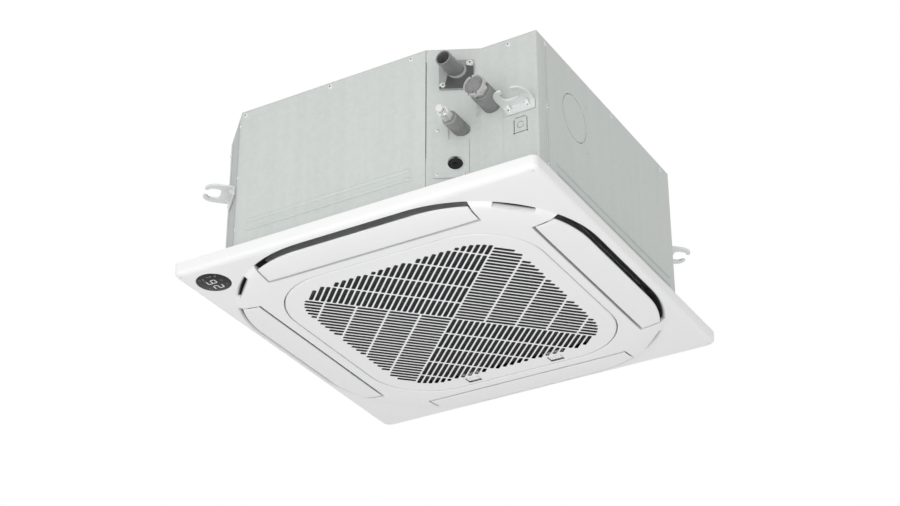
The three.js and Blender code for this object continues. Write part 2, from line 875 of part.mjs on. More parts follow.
// arcs scored through the sheet, joined by tabs
function freshAirScores() {
  const pitch = 2 * Math.PI / freshAirTabs;
  const tab = 4 / freshAirRadius;
  return Array.from({ length: freshAirTabs }, (_, i) => {
    const [from, to] = [i * pitch + tab / 2, (i + 1) * pitch - tab / 2];
    const centre = [freshAirFromCorner, freshAirZ];
    const outer = arc(centre, freshAirRadius + scoreWidth / 2, from, to, 5);
    const inner = arc(centre, freshAirRadius - scoreWidth / 2, from, to, 5).reverse();
    return onFace(edges.right, prism([...outer, ...inner], -2 * sheet, sheet));
  });
}

function rightPanel() {
  const path = [
    alongEdge(edges.right, pipingReturn + seat),
    outline[edges.backRight], alongEdge(edges.backRight, returnFlange),
  ];
  const wall = wallAlong(path, sheet, casingBottom, wallTop);
  const length = edgeLength(edges.right);
  return cut(
    join(wall, ...embossedRibs(edges.right, pipingReturn + 35, length - ribMargin)), ...freshAirScores());
}

function backPanel() {
  const start = alongEdge(edges.backRight, edgeLength(edges.backRight) - returnFlange);
  const path = [
    start, outline[edges.back], outline[edges.backLeft], alongEdge(edges.backLeft, returnFlange),
  ];
  return sideWall(path, edges.back, edgeLength(edges.back) - ribMargin);
}

function leftPanel() {
  const start = alongEdge(edges.backLeft, edgeLength(edges.backLeft) - returnFlange);
  const path = [
    start, outline[edges.left], outline[edges.frontLeft], alongEdge(edges.frontLeft, returnFlange),
  ];
  return sideWall(path, edges.left, edgeLength(edges.left) - ribMargin);
}

function cornerPanel(edge) {
  const margin = returnFlange + seat;
  const path = [alongEdge(edge, margin), alongEdge(edge, edgeLength(edge) - margin)];
  return wallAlong(path, sheet, casingBottom, wallTop);
}

function wiringScores() {
  const [halfWidth, halfHeight] = [wiringWidth / 2, wiringHeight / 2];
  const depth = [-2 * sheet, sheet];
  const across = [wiringFromCorner - halfWidth + 3, wiringFromCorner + halfWidth - 3];
  const upward = [wiringZ - halfHeight + 3, wiringZ + halfHeight - 3];
  const half = scoreWidth / 2;
  const levels = [wiringZ - halfHeight, wiringZ + halfHeight];
  const sides = [wiringFromCorner - halfWidth, wiringFromCorner + halfWidth];
  return [
    ...levels.map((z) => box(across, [z - half, z + half], depth)),
    ...sides.map((u) => box([u - half, u + half], upward, depth)),
  ].map((score) => onFace(edges.piping, score));
}

function pipingPanel() {
  const path = [
    alongEdge(edges.slanted, seat + sheet), outline[edges.piping], outline[edges.right],
    alongEdge(edges.right, pipingReturn),
  ];
  const wall = wallAlong(path, sheet, casingBottom, wallTop);
  const through = (edge, u, z, radius) => {
    const [x, y] = facePoint(edge, u, z);
    return rod(radius, [x, y - 30, z], [x, y + 30, z]);
  };
  const plugHole = onFace(edges.slanted, rod(
    drainPlugRadius + 1, [drainPlugU, drainPlugZ, -5], [drainPlugU, drainPlugZ, 5]));
  return cut(
    wall, through(edges.slanted, drainFlangeU, drainAxisZ, drainHole),
    through(edges.piping, gasU, gasZ, gasRadius + 2),
    through(edges.slanted, liquidU, liquidZ, liquidRadius + 2),
    plugHole, ...wiringScores());
}

function accessPlate() {
  const [left, step, right] = accessU;
  const [low, middle, high] = accessZ;
  const plate = [[left, low], [right, low], [right, middle], [step, middle], [step, high], [left, high]];
  const hole = circle(drainPlugRadius + 0.6, pipeSides, [drainPlugU, drainPlugZ]);
  return prism(plate, seat, seat + sheet, [hole]);
}

function drainPlug() {
  const low = seat + sheet - drainPlugRecess;
  return rod(drainPlugRadius, [drainPlugU, drainPlugZ, low - drainPlugLength], [drainPlugU, drainPlugZ, low]);
}

function topPlate() {
  const lid = prism(outline, casingTop - sheet, casingTop);
  const inset = sheet + seat;
  const skirt = prism(
    insetOutline(inset), casingTop - sheet - skirtHeight, casingTop - sheet + 0.5,
    [insetOutline(inset + sheet)]);
  return join(lid, skirt);
}

function topLining() {
  const inset = 2 * sheet + 2 * seat;
  const high = casingTop - sheet - seat;
  return prism(insetOutline(inset), high - topLiner, high, [circle(motorOpening, roundSides)]);
}

function sideLining() {
  const inner = insetOutline(sheet + seat);
  const path = [
    [inner[edges.right][0], pipingY + 30],
    ...inner.slice(edges.backRight), inner[edges.front],
    [pipingStartX - 10, inner[edges.front][1]],
  ];
  return wallAlong(path, liner, panTop + seat, casingTop - sheet - skirtHeight - seat);
}

// a horizontal plate with a throated slot for the hanging bolt, and a flange down the casing
function hangerBracket() {
  const quarter = [
    [bracketHalfWidth, 0], [bracketHalfWidth, bracketReach - 17], [bracketHalfWidth - 2, bracketReach - 9],
    [bracketHalfWidth - 6, bracketReach - 3], [bracketHalfWidth - 12, bracketReach],
    [bracketMouthHalf, bracketReach], [bracketMouthHalf, bracketSlotEnd + 2],
    [bracketSlotHalf, bracketSlotEnd - 3], [bracketSlotHalf, bracketSlotStart + 5],
    [bracketSlotHalf - 5, bracketSlotStart],
  ];
  const mirrored = quarter.map(([u, w]) => [-u, w]).reverse();
  const plate = prism([...quarter, ...mirrored], -bracketThickness, 0).rotateX(Math.PI / 2);
  const flange = box(
    [-bracketHalfWidth, bracketHalfWidth], [-bracketFlange, bracketThickness], [0, bracketThickness]);
  return join(plate, flange);
}

// ---------------------------------------------------------------- air path

function drainPan() {
  const block = prism(insetOutline(sheet + seat), casingBottom, panTop);
  const hole = stack([
    [panHoleHalf + panRebate, panHoleCorner, casingBottom - 1],
    [panHoleHalf + panRebate, panHoleCorner, bellFlangeZ + bellWall + seat],
  ]);
  const throat = stack([[panHoleHalf, panHoleCorner, ceilingZ], [panHoleHalf, panHoleCorner, panTop + 1]]);
  const trough = hoop([
    [troughOuter, coilOuterCorner + 3, panFloor], [troughOuter, coilOuterCorner + 3, panTop + 1],
    [troughInner, coilInnerCorner - 3, panTop + 1], [troughInner, coilInnerCorner - 3, panFloor],
  ]);
  const pocket = box([pumpPocket, troughOuter], [-troughOuter, -pumpPocket], [panFloor, panTop + 1]);
  const inside = prism(insetOutline(sheet + seat + liner), ceilingZ, panTop + 1);
  const duct = box(
    [-outletHalfLength, outletHalfLength], [-ductHalf, -troughOuter - panWall], [ceilingZ, panTop + 1]);
  const ducts = aroundFour(duct).map((turned) => common(turned, inside));
  const plugBore = onFace(edges.slanted, rod(
    drainPlugRadius + seat, [drainPlugU, drainPlugZ, -drainPlugLength - 3], [drainPlugU, drainPlugZ, 2]));
  return cut(block, hole, throat, trough, pocket, ...ducts, plugBore);
}

function bellMouth() {
  const steps = 5;
  const curve = (outer, inner, low) => Array.from({ length: steps + 1 }, (_, i) => {
    const angle = Math.PI / 2 * i / steps;
    return [outer - (outer - inner) * Math.sin(angle), low + (bellCurveTop - low) * (1 - Math.cos(angle))];
  });
  const airSide = curve(bellOuter, bellThroat, bellFlangeZ);
  const backSide = curve(bellOuter, bellThroat + bellWall, bellFlangeZ + bellWall).reverse();
  const mouth = lathe([
    ...airSide, [bellThroat, bellTop], [bellThroat + bellWall, bellTop], ...backSide, airSide[0],
  ]);
  const flange = prism(
    roundedSquare(bellFlangeHalf, bellFlangeCorner), bellFlangeZ, bellFlangeZ + bellWall,
    [circle(bellOuter - 1, roundSides)]);
  return join(mouth, flange);
}

function shroudProfile(offset, from = 0) {
  const steps = 4;
  return Array.from({ length: steps + 1 }, (_, i) => {
    const angle = from + (Math.PI / 2 - from) * i / steps;
    const radius = fanInlet + (fanRadius - fanInlet) * (1 - Math.cos(angle));
    const z = fanBottom + shroudRise * Math.sin(angle);
    return [radius + offset * Math.cos(angle), z - offset * Math.sin(angle)];
  });
}

function fanBlade(turn) {
  const steps = 4;
  const side = (offset) => Array.from({ length: steps + 1 }, (_, i) => {
    const radius = bladeInner + (fanRadius - 1 - bladeInner) * i / steps;
    const angle = turn - bladeSweep * (i / steps) ** 0.8 + offset / radius;
    return [radius * Math.cos(angle), radius * Math.sin(angle)];
  });
  const half = bladeThickness / 2;
  return prism([...side(-half), ...side(half).reverse()], fanBottom, fanBackZ + 1);
}

function turboFan() {
  const inner = shroudProfile(0);
  const shroud = lathe([...inner, ...shroudProfile(fanWall).reverse(), inner[0]]);
  const bore = shaftRadius + seat;
  const hub = [
    [bore, fanHubZ], [fanHubRadius, fanHubZ], [fanHubRadius, fanConeBottom - fanWall],
    [fanConeInner, fanConeBottom - fanWall], [fanConeOuter, fanBackZ], [fanRadius, fanBackZ],
    [fanRadius, fanBackZ + fanWall], [fanConeOuter - 1, fanBackZ + fanWall],
    [fanConeInner - 1, fanConeBottom], [bore, fanConeBottom], [bore, fanHubZ],
  ];
  const bladeAngle = Math.asin((bladeBottom - fanBottom) / shroudRise);
  const bladeSpace = lathe([
    [bladeInner - 5, bladeBottom], ...shroudProfile(fanWall / 2, bladeAngle),
    [fanRadius, fanBackZ + 1], [bladeInner - 5, fanBackZ + 1], [bladeInner - 5, bladeBottom],
  ]);
  const blades = Array.from({ length: bladeCount }, (_, i) =>
    common(fanBlade(2 * Math.PI * i / bladeCount), bladeSpace));
  return join(shroud, lathe(hub), ...blades);
}

function fanNut() {
  const high = fanHubZ - seat;
  return prism(
    circle(fanNutRadius, 6), high - fanNutHeight, high, [circle(shaftRadius + seat, pipeSides)]);
}

function fanMotor() {
  const bore = shaftRadius + seat;
  const can = [
    [bore, motorBottom - motorBossHeight], [motorBoss, motorBottom - motorBossHeight],
    [motorBoss, motorBottom], [motorRadius - 6, motorBottom], [motorRadius, motorBottom + 6],
    [motorRadius, motorTop - 3], [motorRadius - 3, motorTop], [0, motorTop],
    [0, shaftTop + seat], [bore, shaftTop + seat], [bore, motorBottom - motorBossHeight],
  ];
  return lathe(can);
}

function motorMount() {
  const low = motorTop + seat;
  const high = casingTop - sheet - seat;
  const disc = prism(circle(mountRadius, pipeSides), low, low + mountPlate);
  const arms = [0, 1, 2].flatMap((i) => {
    const arm = box([0, mountReach], [-mountArmHalf, mountArmHalf], [low, low + mountPlate]);
    const foot = box([mountReach - 10, mountReach], [-mountArmHalf, mountArmHalf], [low, high]);
    return [arm, foot].map((piece) => piece.rotateZ(2 * Math.PI * i / 3));
  });
  return join(disc, ...arms);
}

function heatExchanger() {
  const ring = hoop([
    [coilOuter, coilOuterCorner, coilBottom], [coilOuter, coilOuterCorner, coilTop],
    [coilInner, coilInnerCorner, coilTop], [coilInner, coilInnerCorner, coilBottom],
  ]);
  const gapAtPipes = box(
    [coilEndX, coilOuter + 1], [-coilOuter - 1, coilEndY], [coilBottom - 1, coilTop + 1]);
  return cut(ring, gapAtPipes);
}

const coilBottom = panFloor + seat;
const bendPitch = (coilTop - coilBottom) / returnBends;

// a tube sheet with hairpin bends, lying in the YZ plane with its outside towards +X
function coilEnd(y0, y1) {
  const sheetPlate = box([0, endPlate], [y0, y1], [coilBottom, coilTop]);
  const middle = (y0 + y1) / 2;
  const bends = Array.from({ length: returnBends }, (_, i) => {
    const z = coilBottom + bendPitch * (i + 0.5);
    const bow = arc([0, 0], returnBendRadius, -Math.PI / 2, Math.PI / 2, 6);
    const loop = [[-endPlate / 2, -returnBendRadius], ...bow, [-endPlate / 2, returnBendRadius]];
    return prism(loop, -bendThickness / 2, bendThickness / 2)
      .rotateX(Math.PI / 2)
      .translate(endPlate, middle, z);
  });
  return join(sheetPlate, ...bends);
}

// ---------------------------------------------------------------- drainage

function drainPump() {
  const body = lathe([
    [0, pumpFootZ], [pumpFootRadius, pumpFootZ], [pumpFootRadius, pumpBottom - 4],
    [pumpRadius, pumpBottom], [pumpRadius, pumpTop], [0, pumpTop],
  ], pipeSides).translate(pumpX, pumpY, 0);
  const outlet = rod(
    pumpOutletRadius, [pumpOutletX, pumpY, pumpTop - 5],
    [pumpOutletX, pumpY, pumpTop + pumpOutletHeight], smallSides);
  return join(body, outlet);
}

function pumpBracket() {
  const low = pumpTop + seat;
  const wallY = pipingY + sheet + seat;
  const plate = box(pumpPlateX, [wallY, pumpPlateY], [low, low + pumpPlate]);
  const flange = box(
    [pumpFlangeX, pumpPlateX[1]], [wallY, wallY + pumpPlate], [low - pumpFlangeDrop, low + pumpPlate]);
  const beside = box(
    [pumpPlateX[0] - 1, pumpFlangeX], [wallY - 1, pumpY - pumpRadius], [low - 1, low + pumpPlate + 1]);
  const outletHole = rod(
    pumpOutletRadius + 1, [pumpOutletX, pumpY, low - 1],
    [pumpOutletX, pumpY, low + pumpPlate + 1], pipeSides);
  return cut(join(plate, flange), beside, outletHole);
}

function drainHose() {
  const [drainX, drainY] = facePoint(edges.slanted, drainFlangeU, drainAxisZ);
  const low = pumpTop + pumpOutletHeight + seat;
  return pipeAlong([
    [pumpOutletX, pumpY, low], [pumpOutletX, pumpY, low + 25], [pumpOutletX - 2, pumpY - 8, drainAxisZ - 18],
    [drainX + 6, drainY + 36, drainAxisZ - 1], [drainX, drainY + 20, drainAxisZ],
    [drainX, drainY + 8.5, drainAxisZ],
  ], hoseRadius, 12, 8);
}

function floatStemPiece() {
  const stem = rod(floatStem, [floatX, floatY, floatStopZ], [floatX, floatY, pumpTop], smallSides);
  const stop = rod(floatStop, [floatX, floatY, floatStopZ], [floatX, floatY, floatStopZ + 2], smallSides);
  return join(stem, stop);
}

function floatRing() {
  const low = floatStopZ + 2 + seat;
  return prism(
    circle(floatRadius, pipeSides, [floatX, floatY]), low, low + floatHeight,
    [circle(floatBore, pipeSides, [floatX, floatY])]);
}

function drainFlange() {
  const [u0, u1] = [drainFlangeU - drainFlangeHalf, drainFlangeU + drainFlangeHalf];
  const [z0, z1] = [drainFlangeZ - drainFlangeHalf, drainFlangeZ + drainFlangeHalf];
  const plate = onFace(edges.slanted, prism(
    [[u0, z0], [u1, z0], [u1, z1], [u0, z1]], seat, seat + drainFlangeThickness));
  const [x, y] = facePoint(edges.slanted, drainFlangeU, drainAxisZ);
  return cut(plate, rod(drainPipeBore, [x, y - 30, drainAxisZ], [x, y + 30, drainAxisZ]));
}

// a straight sleeve along Y that starts flat on a face and ends square
function sleeveFrom(edge, u, z, lift, outerRadius, innerRadius, length, sides = pipeSides) {
  const [x, y] = facePoint(edge, u, z);
  const outer = rod(outerRadius, [x, y - length, z], [x, y + 2 * outerRadius, z], sides);
  const inner = rod(innerRadius, [x, y - length - 1, z], [x, y + 2 * outerRadius + 1, z], sides);
  const behind = onFace(edge, box([-panelHalf, panelHalf], [0, casingTop], [-panelHalf, lift]));
  return cut(outer, inner, behind);
}

function drainPipe() {
  return sleeveFrom(
    edges.slanted, drainFlangeU, drainAxisZ, seat + drainFlangeThickness + seat,
    drainPipeRadius, drainPipeBore, drainPipeLength);
}

// ---------------------------------------------------------------- refrigerant pipes

function unionNut(edge, u, z, start, length, radius, bore) {
  const [x, y] = facePoint(edge, u, z);
  const nut = rod(radius, [x, y - start, z], [x, y - start - length, z], 6);
  return cut(nut, rod(bore, [x, y - start + 1, z], [x, y - start - length - 1, z], pipeSides));
}

function endCap(edge, u, z, start, length, radius) {
  const [x, y] = facePoint(edge, u, z);
  const cap = rod(radius, [x, y - start, z], [x, y - start - length, z], pipeSides);
  const dish = rod(radius * 0.78, [x, y - start - length + 2, z], [x, y - start - length - 1, z], pipeSides);
  return cut(cap, dish);
}

function gasPipe() {
  const [x, y] = facePoint(edges.piping, gasU, gasZ);
  const tip = y - gasSleeveLength - gasNutLength;
  const coilY = coilEndY - endPlate - 2 * seat;
  const joinZ = coilBottom + 4 * bendPitch;
  const middle = (coilOuter + coilInner) / 2;
  return pipeAlong([
    [x, tip, gasZ], [x, y, gasZ], [x, y + 30, gasZ], [x + 4, coilY - 30, (gasZ + joinZ) / 2],
    [middle, coilY - 10, joinZ], [middle, coilY, joinZ],
  ], gasRadius, 12, smallSides);
}

function liquidPipe() {
  const [x, y] = facePoint(edges.slanted, liquidU, liquidZ);
  const tip = y - liquidSleeveLength - liquidNutLength;
  const coilX = coilEndX + endPlate + 2 * seat;
  const joinZ = coilBottom + 2 * bendPitch;
  const middle = -(coilOuter + coilInner) / 2;
  return pipeAlong([
    [x, tip, liquidZ], [x, y, liquidZ], [x, y + 10, liquidZ], [x + 6, middle - 16, liquidZ - 2],
    [x + 6, middle - 4, joinZ + 3], [coilX + 7, middle, joinZ], [coilX, middle, joinZ],
  ], liquidRadius, 12, 8);
}

// ---------------------------------------------------------------- electrics

function controlBox() {
  const shell = box(boxX, [-boxHalfLength, boxHalfLength], [boxBottom, bellFlangeZ - seat]);
  const inside = box(
    [boxX[0] + sheet, boxX[1] - sheet], [-boxHalfLength + sheet, boxHalfLength - sheet],
    [boxBottom - 1, bellFlangeZ - seat - sheet]);
  return cut(shell, inside);
}

function controlBoxCover() {
  const high = boxBottom - seat;
  const edge = sheet;
  return box(
    [boxX[0] - edge, boxX[1] + edge], [-boxHalfLength - edge, boxHalfLength + edge], [high - sheet, high]);
}

function controlBoard() {
  const high = bellFlangeZ - 2 * seat - sheet;
  const low = high - boardThickness;
  const [x0, x1] = [boxX[0] + boardInset, boxX[1] - boardInset];
  const end = boxHalfLength - boardInset;
  const board = box([x0, x1], [-end, end], [low, high]);
  const relay = box([x0 + 4, x0 + 22], [-end + 6, -end + relayEnd], [low - 12, low + 0.5]);
  const converter = box([x0 + 26, x1 - 3], [-end + 10, -end + converterEnd], [low - 10, low + 0.5]);
  const capacitor = rod(8, [x0 + 14, -20, low - 14], [x0 + 14, -20, low + 0.5], pipeSides);
  const processor = box([x0 + 18, x1 - 8], [4, 26], [low - 3, low + 0.5]);
  const terminals = box([x0 + 3, x1 - 3], [end - terminalLength, end - 4], [low - 12, low + 0.5]);
  return join(board, relay, converter, capacitor, processor, terminals);
}

// ---------------------------------------------------------------- the assembly

const unit = new THREE.Group();

const white = 0xf2f3f2;
const vaneWhite = 0xeff0ef;
const zinc = 0xc6cac9;
const darkFoam = 0x3a3c3e;
const whiteFoam = 0xe4e6e6;
const black = 0x111214;
const fin = 0xb9bec2;
const copper = 0xb5734d;
const brassColour = 0xc9a75a;
const greySteel = 0x8d9296;
const fanGrey = 0x54585c;

const plastic = (color) => ({ color, roughness: 0.45, metalness: 0 });
const metal = (color) => ({ color, roughness: 0.4, metalness: 0.8 });
const soft = (color) => ({ color, roughness: 0.95, metalness: 0 });

function part(name, geometry, finish, parent) {
  const mesh = new THREE.Mesh(geometry, new THREE.MeshStandardMaterial(finish));
  mesh.name = name;
  parent.add(mesh);
  return mesh;
}

function subassembly(parent = unit) {
  const group = new THREE.Group();
  parent.add(group);
  return group;
}

function faceGroup(edge, u, z, w) {
  const group = subassembly();
  group.applyMatrix4(faceFrame(edge).multiply(new THREE.Matrix4().makeTranslation(u, z, w)));
  return group;
}

const sideNames = ['front', 'right', 'back', 'left'];

function addPanel() {
  const panel = subassembly();
  part('decoration_panel', decorationPanel(), plastic(white), panel);
  const [x, y] = displayCentre;
  const lensTop = displayZ + displayThickness;
  const lens = rod(displayRadius, [x, y, displayZ], [x, y, lensTop], roundSides);
  part('display_lens', lens, { color: black, roughness: 0.1, metalness: 0 }, panel);
  const reach = [-displayBoardHalf, displayBoardHalf];
  const board = box(reach, reach, [lensTop + seat, lensTop + seat + displayBoardThickness]);
  part('display_board', board.translate(x, y, 0), plastic(0x1f6b3a), panel);
  sideNames.forEach((side, quarter) => {
    const outlet = subassembly(panel);
    outlet.rotation.z = quarter * Math.PI / 2;
    part(`louver_${side}`, louver(), plastic(vaneWhite), outlet);
    part(`louver_motor_${side}`, louverMotor(), plastic(0xd8d5c8), outlet);
  });
}

function addGrille() {
  const grille = subassembly();
  part('intake_grille', intakeGrille(), plastic(white), grille);
  part('air_filter', airFilter(), plastic(0x2b2d2f), grille);
  part('latch_left', latch(-latchX), plastic(vaneWhite), grille);
  part('latch_right', latch(latchX), plastic(vaneWhite), grille);
}

function addCasing() {
  const casing = subassembly();
  part('front_panel', frontPanel(), metal(zinc), casing);
  part('right_panel', rightPanel(), metal(zinc), casing);
  part('back_panel', backPanel(), metal(zinc), casing);
  part('left_panel', leftPanel(), metal(zinc), casing);
  part('corner_panel_front_left', cornerPanel(edges.frontLeft), metal(zinc), casing);
  part('corner_panel_back_left', cornerPanel(edges.backLeft), metal(zinc), casing);
  part('corner_panel_back_right', cornerPanel(edges.backRight), metal(zinc), casing);
  part('piping_panel', pipingPanel(), metal(zinc), casing);
  part('top_plate', topPlate(), metal(zinc), casing);
  part('top_lining', topLining(), soft(darkFoam), casing);
  part('side_lining', sideLining(), soft(darkFoam), casing);
}

function addBrackets() {
  const places = [
    ['hanger_bracket_front_left', edges.frontLeft, edgeLength(edges.frontLeft) / 2],
    ['hanger_bracket_back_left', edges.backLeft, edgeLength(edges.backLeft) / 2],
    ['hanger_bracket_back_right', edges.backRight, edgeLength(edges.backRight) / 2],
    ['hanger_bracket_piping', edges.piping, pipingBracketU],
  ];
  places.forEach(([name, edge, u]) => {
    part(name, hangerBracket(), metal(zinc), faceGroup(edge, u, bracketZ, seat));
  });
}

function addAirPath() {
  const air = subassembly();
  part('drain_pan', drainPan(), soft(whiteFoam), air);
  part('bell_mouth', bellMouth(), plastic(0x26282a), air);
  part('turbo_fan', turboFan(), plastic(fanGrey), air);
  const shaft = rod(shaftRadius, [0, 0, shaftBottom], [0, 0, shaftTop], pipeSides);
  part('motor_shaft', shaft, metal(greySteel), air);
  part('fan_nut', fanNut(), metal(greySteel), air);
  part('fan_motor', fanMotor(), metal(0x6d7276), air);
  part('motor_mount', motorMount(), metal(zinc), air);
  part('heat_exchanger', heatExchanger(), metal(fin), air);
  const frontEnd = part('coil_end_front', coilEnd(-coilOuter, -coilInner), metal(copper), air);
  frontEnd.position.x = coilEndX + seat;
  const rightEnd = subassembly(air);
  rightEnd.position.y = coilEndY - seat;
  rightEnd.rotation.z = -Math.PI / 2;
  part('coil_end_right', coilEnd(coilInner, coilOuter), metal(copper), rightEnd);
}

function addDrainage() {
  const drain = subassembly();
  part('drain_pump', drainPump(), plastic(0xe8e8e4), drain);
  part('pump_bracket', pumpBracket(), metal(zinc), drain);
  part('drain_hose', drainHose(), plastic(0xcfd3d2), drain);
  part('float_stem', floatStemPiece(), plastic(0xdadad6), drain);
  part('float_ring', floatRing(), plastic(0xf0efe8), drain);
  part('drain_flange', drainFlange(), plastic(0x9da1a1), drain);
  part('drain_pipe', drainPipe(), plastic(0x8c9090), drain);
  const plate = faceGroup(edges.slanted, 0, 0, 0);
  part('drain_access_plate', accessPlate(), metal(zinc), plate);
  part('drain_plug', drainPlug(), soft(black), plate);
}

function addPipes() {
  const pipes = subassembly();
  const lift = seat;
  part('gas_pipe', gasPipe(), metal(copper), pipes);
  part('gas_sleeve', sleeveFrom(
    edges.piping, gasU, gasZ, lift, gasSleeveRadius, gasRadius + seat, gasSleeveLength - seat),
  soft(darkFoam), pipes);
  part('gas_flare_nut', unionNut(
    edges.piping, gasU, gasZ, gasSleeveLength, gasNutLength, gasNutRadius, gasRadius + seat),
  metal(brassColour), pipes);
  part('gas_cap', endCap(
    edges.piping, gasU, gasZ, gasSleeveLength + gasNutLength + seat, gasCapLength, gasCapRadius),
  plastic(0x8f9394), pipes);
  part('liquid_pipe', liquidPipe(), metal(copper), pipes);
  part('liquid_sleeve', sleeveFrom(
    edges.slanted, liquidU, liquidZ, lift, liquidSleeveRadius, liquidRadius + seat,
    liquidSleeveLength - seat),
  soft(darkFoam), pipes);
  part('liquid_flare_nut', unionNut(
    edges.slanted, liquidU, liquidZ, liquidSleeveLength, liquidNutLength, liquidNutRadius,
    liquidRadius + seat),
  metal(brassColour), pipes);
  part('liquid_cap', endCap(
    edges.slanted, liquidU, liquidZ, liquidSleeveLength + liquidNutLength + seat, liquidCapLength,
    liquidCapRadius),
  plastic(0xe6e6e2), pipes);
}

function addElectrics() {
  const electrics = subassembly();
  part('control_box', controlBox(), metal(zinc), electrics);
  part('control_box_cover', controlBoxCover(), metal(zinc), electrics);
  part('control_board', controlBoard(), plastic(0x1f6b3a), electrics);
}

addPanel();
addGrille();
addCasing();
addBrackets();
addAirPath();
addDrainage();
addPipes();
addElectrics();

export default unit;
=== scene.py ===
import math

import bmesh
import bpy
from mathutils import Matrix, Vector


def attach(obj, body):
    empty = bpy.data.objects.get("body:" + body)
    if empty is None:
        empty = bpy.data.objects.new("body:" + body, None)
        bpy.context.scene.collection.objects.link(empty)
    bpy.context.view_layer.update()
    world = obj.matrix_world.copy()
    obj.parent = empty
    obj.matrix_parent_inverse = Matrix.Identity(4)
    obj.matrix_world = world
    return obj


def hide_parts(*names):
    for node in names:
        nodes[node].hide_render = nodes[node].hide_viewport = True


# The dressed ceiling cassette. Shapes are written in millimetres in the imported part's frame and
# are scaled to metres when they become pieces.

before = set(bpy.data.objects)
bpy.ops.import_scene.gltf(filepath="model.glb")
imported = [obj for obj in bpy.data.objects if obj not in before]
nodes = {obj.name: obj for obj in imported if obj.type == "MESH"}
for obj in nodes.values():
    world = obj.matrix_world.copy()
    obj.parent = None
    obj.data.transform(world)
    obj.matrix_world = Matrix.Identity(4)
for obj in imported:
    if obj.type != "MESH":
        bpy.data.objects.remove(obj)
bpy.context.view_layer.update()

MM = 0.001

# ---- sizes shared with the solids

PANEL_HALF = 310
CEILING_Z = 33
LIP_HALF, LIP_CORNER, LIP_Z = 300, 210, 10
BLOCK_HALF, BLOCK_CORNER, BLOCK_RISE = 288, 188, 4.5
RING_HALF, RING_CORNER = 239, 121
GRILLE_HALF, GRILLE_CORNER = 217.4, 108.4
OPENING_HALF, OPENING_CORNER = 219.2, 110.2
WALL = 3
DUCT_HALF = 274
OUTLET_HALF_LENGTH = 183
OUTLET_INNER = 235.4
SLOT_START, SLOT_END = 208.6, 254.6
LOUVER_HALF_LENGTH = 180
LOUVER_INNER = 240.1
LOUVER_THICKNESS = 2.6
PIVOT_Y, PIVOT_Z = -252, 9
FIELD_HALF, FIELD_CORNER = 187, 75
SLOT_PITCH, SLOT_WIDTH, SLOT_END_RADIUS = 9.2, 6.4, 2.4
CROSS_PITCH, CROSS_WIDTH = 50.7, 2.8
LEAST_SLOT = 8
FIELD_THICKNESS, FIELD_BEVEL = 1.5, 0.3
LATCH_X = 76
HINGE_X, HINGE_Y, HINGE_Z = 100, -226, 5.5
DISPLAY = (-265, -265)
DISPLAY_RADIUS = 27
BODY_HALF, BODY_CHAMFER = 285, 70
PIPING_START, PIPING_END, PIPING_Y = 118, 191.5, -248
CASING_LOW, CASING_TOP = 33.3, 291
WALL_TOP = 289.5
SHEET = 1.2
BEND_RADIUS, BEND_STEPS = 2.2, 5
LAP = 12
RIB_ROWS = (73, 87.5)
RIB_MARGIN, RIB_WIDTH, RIB_RISE = 19, 7.5, 1.8
SCREW_ROW = 283
FRESH_AIR_U, FRESH_AIR_Z, FRESH_AIR_RADIUS = 118.4, 202.4, 38.5
WIRING_U, WIRING_Z = 64, 134
BRACKET_Z = 167
GAS_U, GAS_Z = 18.5, 185.5
LIQUID_U, LIQUID_Z = 52.6, 147.5
DRAIN_U, DRAIN_Z = 46, 251
PLUG_U, PLUG_Z = 44, 89
SIDES = ("front", "right", "back", "left")

OUTLINE = [
    (-BODY_HALF + BODY_CHAMFER, -BODY_HALF),
    (PIPING_START, -BODY_HALF),
    (PIPING_END, PIPING_Y),
    (BODY_HALF, PIPING_Y),
    (BODY_HALF, BODY_HALF - BODY_CHAMFER),
    (BODY_HALF - BODY_CHAMFER, BODY_HALF),
    (-BODY_HALF + BODY_CHAMFER, BODY_HALF),
    (-BODY_HALF, BODY_HALF - BODY_CHAMFER),
    (-BODY_HALF, -BODY_HALF + BODY_CHAMFER),
]
FRONT, SLANTED, PIPING, RIGHT, BACK_RIGHT, BACK, BACK_LEFT, LEFT, FRONT_LEFT = range(9)
CHAMFERS = {"front_left": FRONT_LEFT, "back_left": BACK_LEFT, "back_right": BACK_RIGHT}


# ---- mesh helpers


def arc(centre, radius, start, end, steps):
    angles = [start + (end - start) * i / steps for i in range(steps + 1)]
    return [(centre[0] + radius * math.cos(a), centre[1] + radius * math.sin(a)) for a in angles]


def quarter_turn(steps):
    """Angles from 0 to 90 degrees."""
    return [math.pi / 2 * i / steps for i in range(steps + 1)]


def circle(radius, sides, centre=(0, 0)):
    return arc(centre, radius, 0, 2 * math.pi, sides)[:sides]


def rectangle(x0, x1, y0, y1, radius, steps=5):
    """A rectangle with rounded corners."""
    corners = [(x1 - radius, y1 - radius), (x0 + radius, y1 - radius),
               (x0 + radius, y0 + radius), (x1 - radius, y0 + radius)]
    points = []
    for quarter, centre in enumerate(corners):
        start = quarter * math.pi / 2
        points += arc(centre, radius, start, start + math.pi / 2, steps)
    return points


def rounded_square(half, corner, steps):
    return rectangle(-half, half, -half, half, corner, steps)


def ring_outline(centre, radius, width, start, end, steps=14):
    """A stretch of a ring, between two angles."""
    outer = arc(centre, radius + width / 2, start, end, steps)
    inner = arc(centre, radius - width / 2, start, end, steps)
    return outer + inner[::-1]


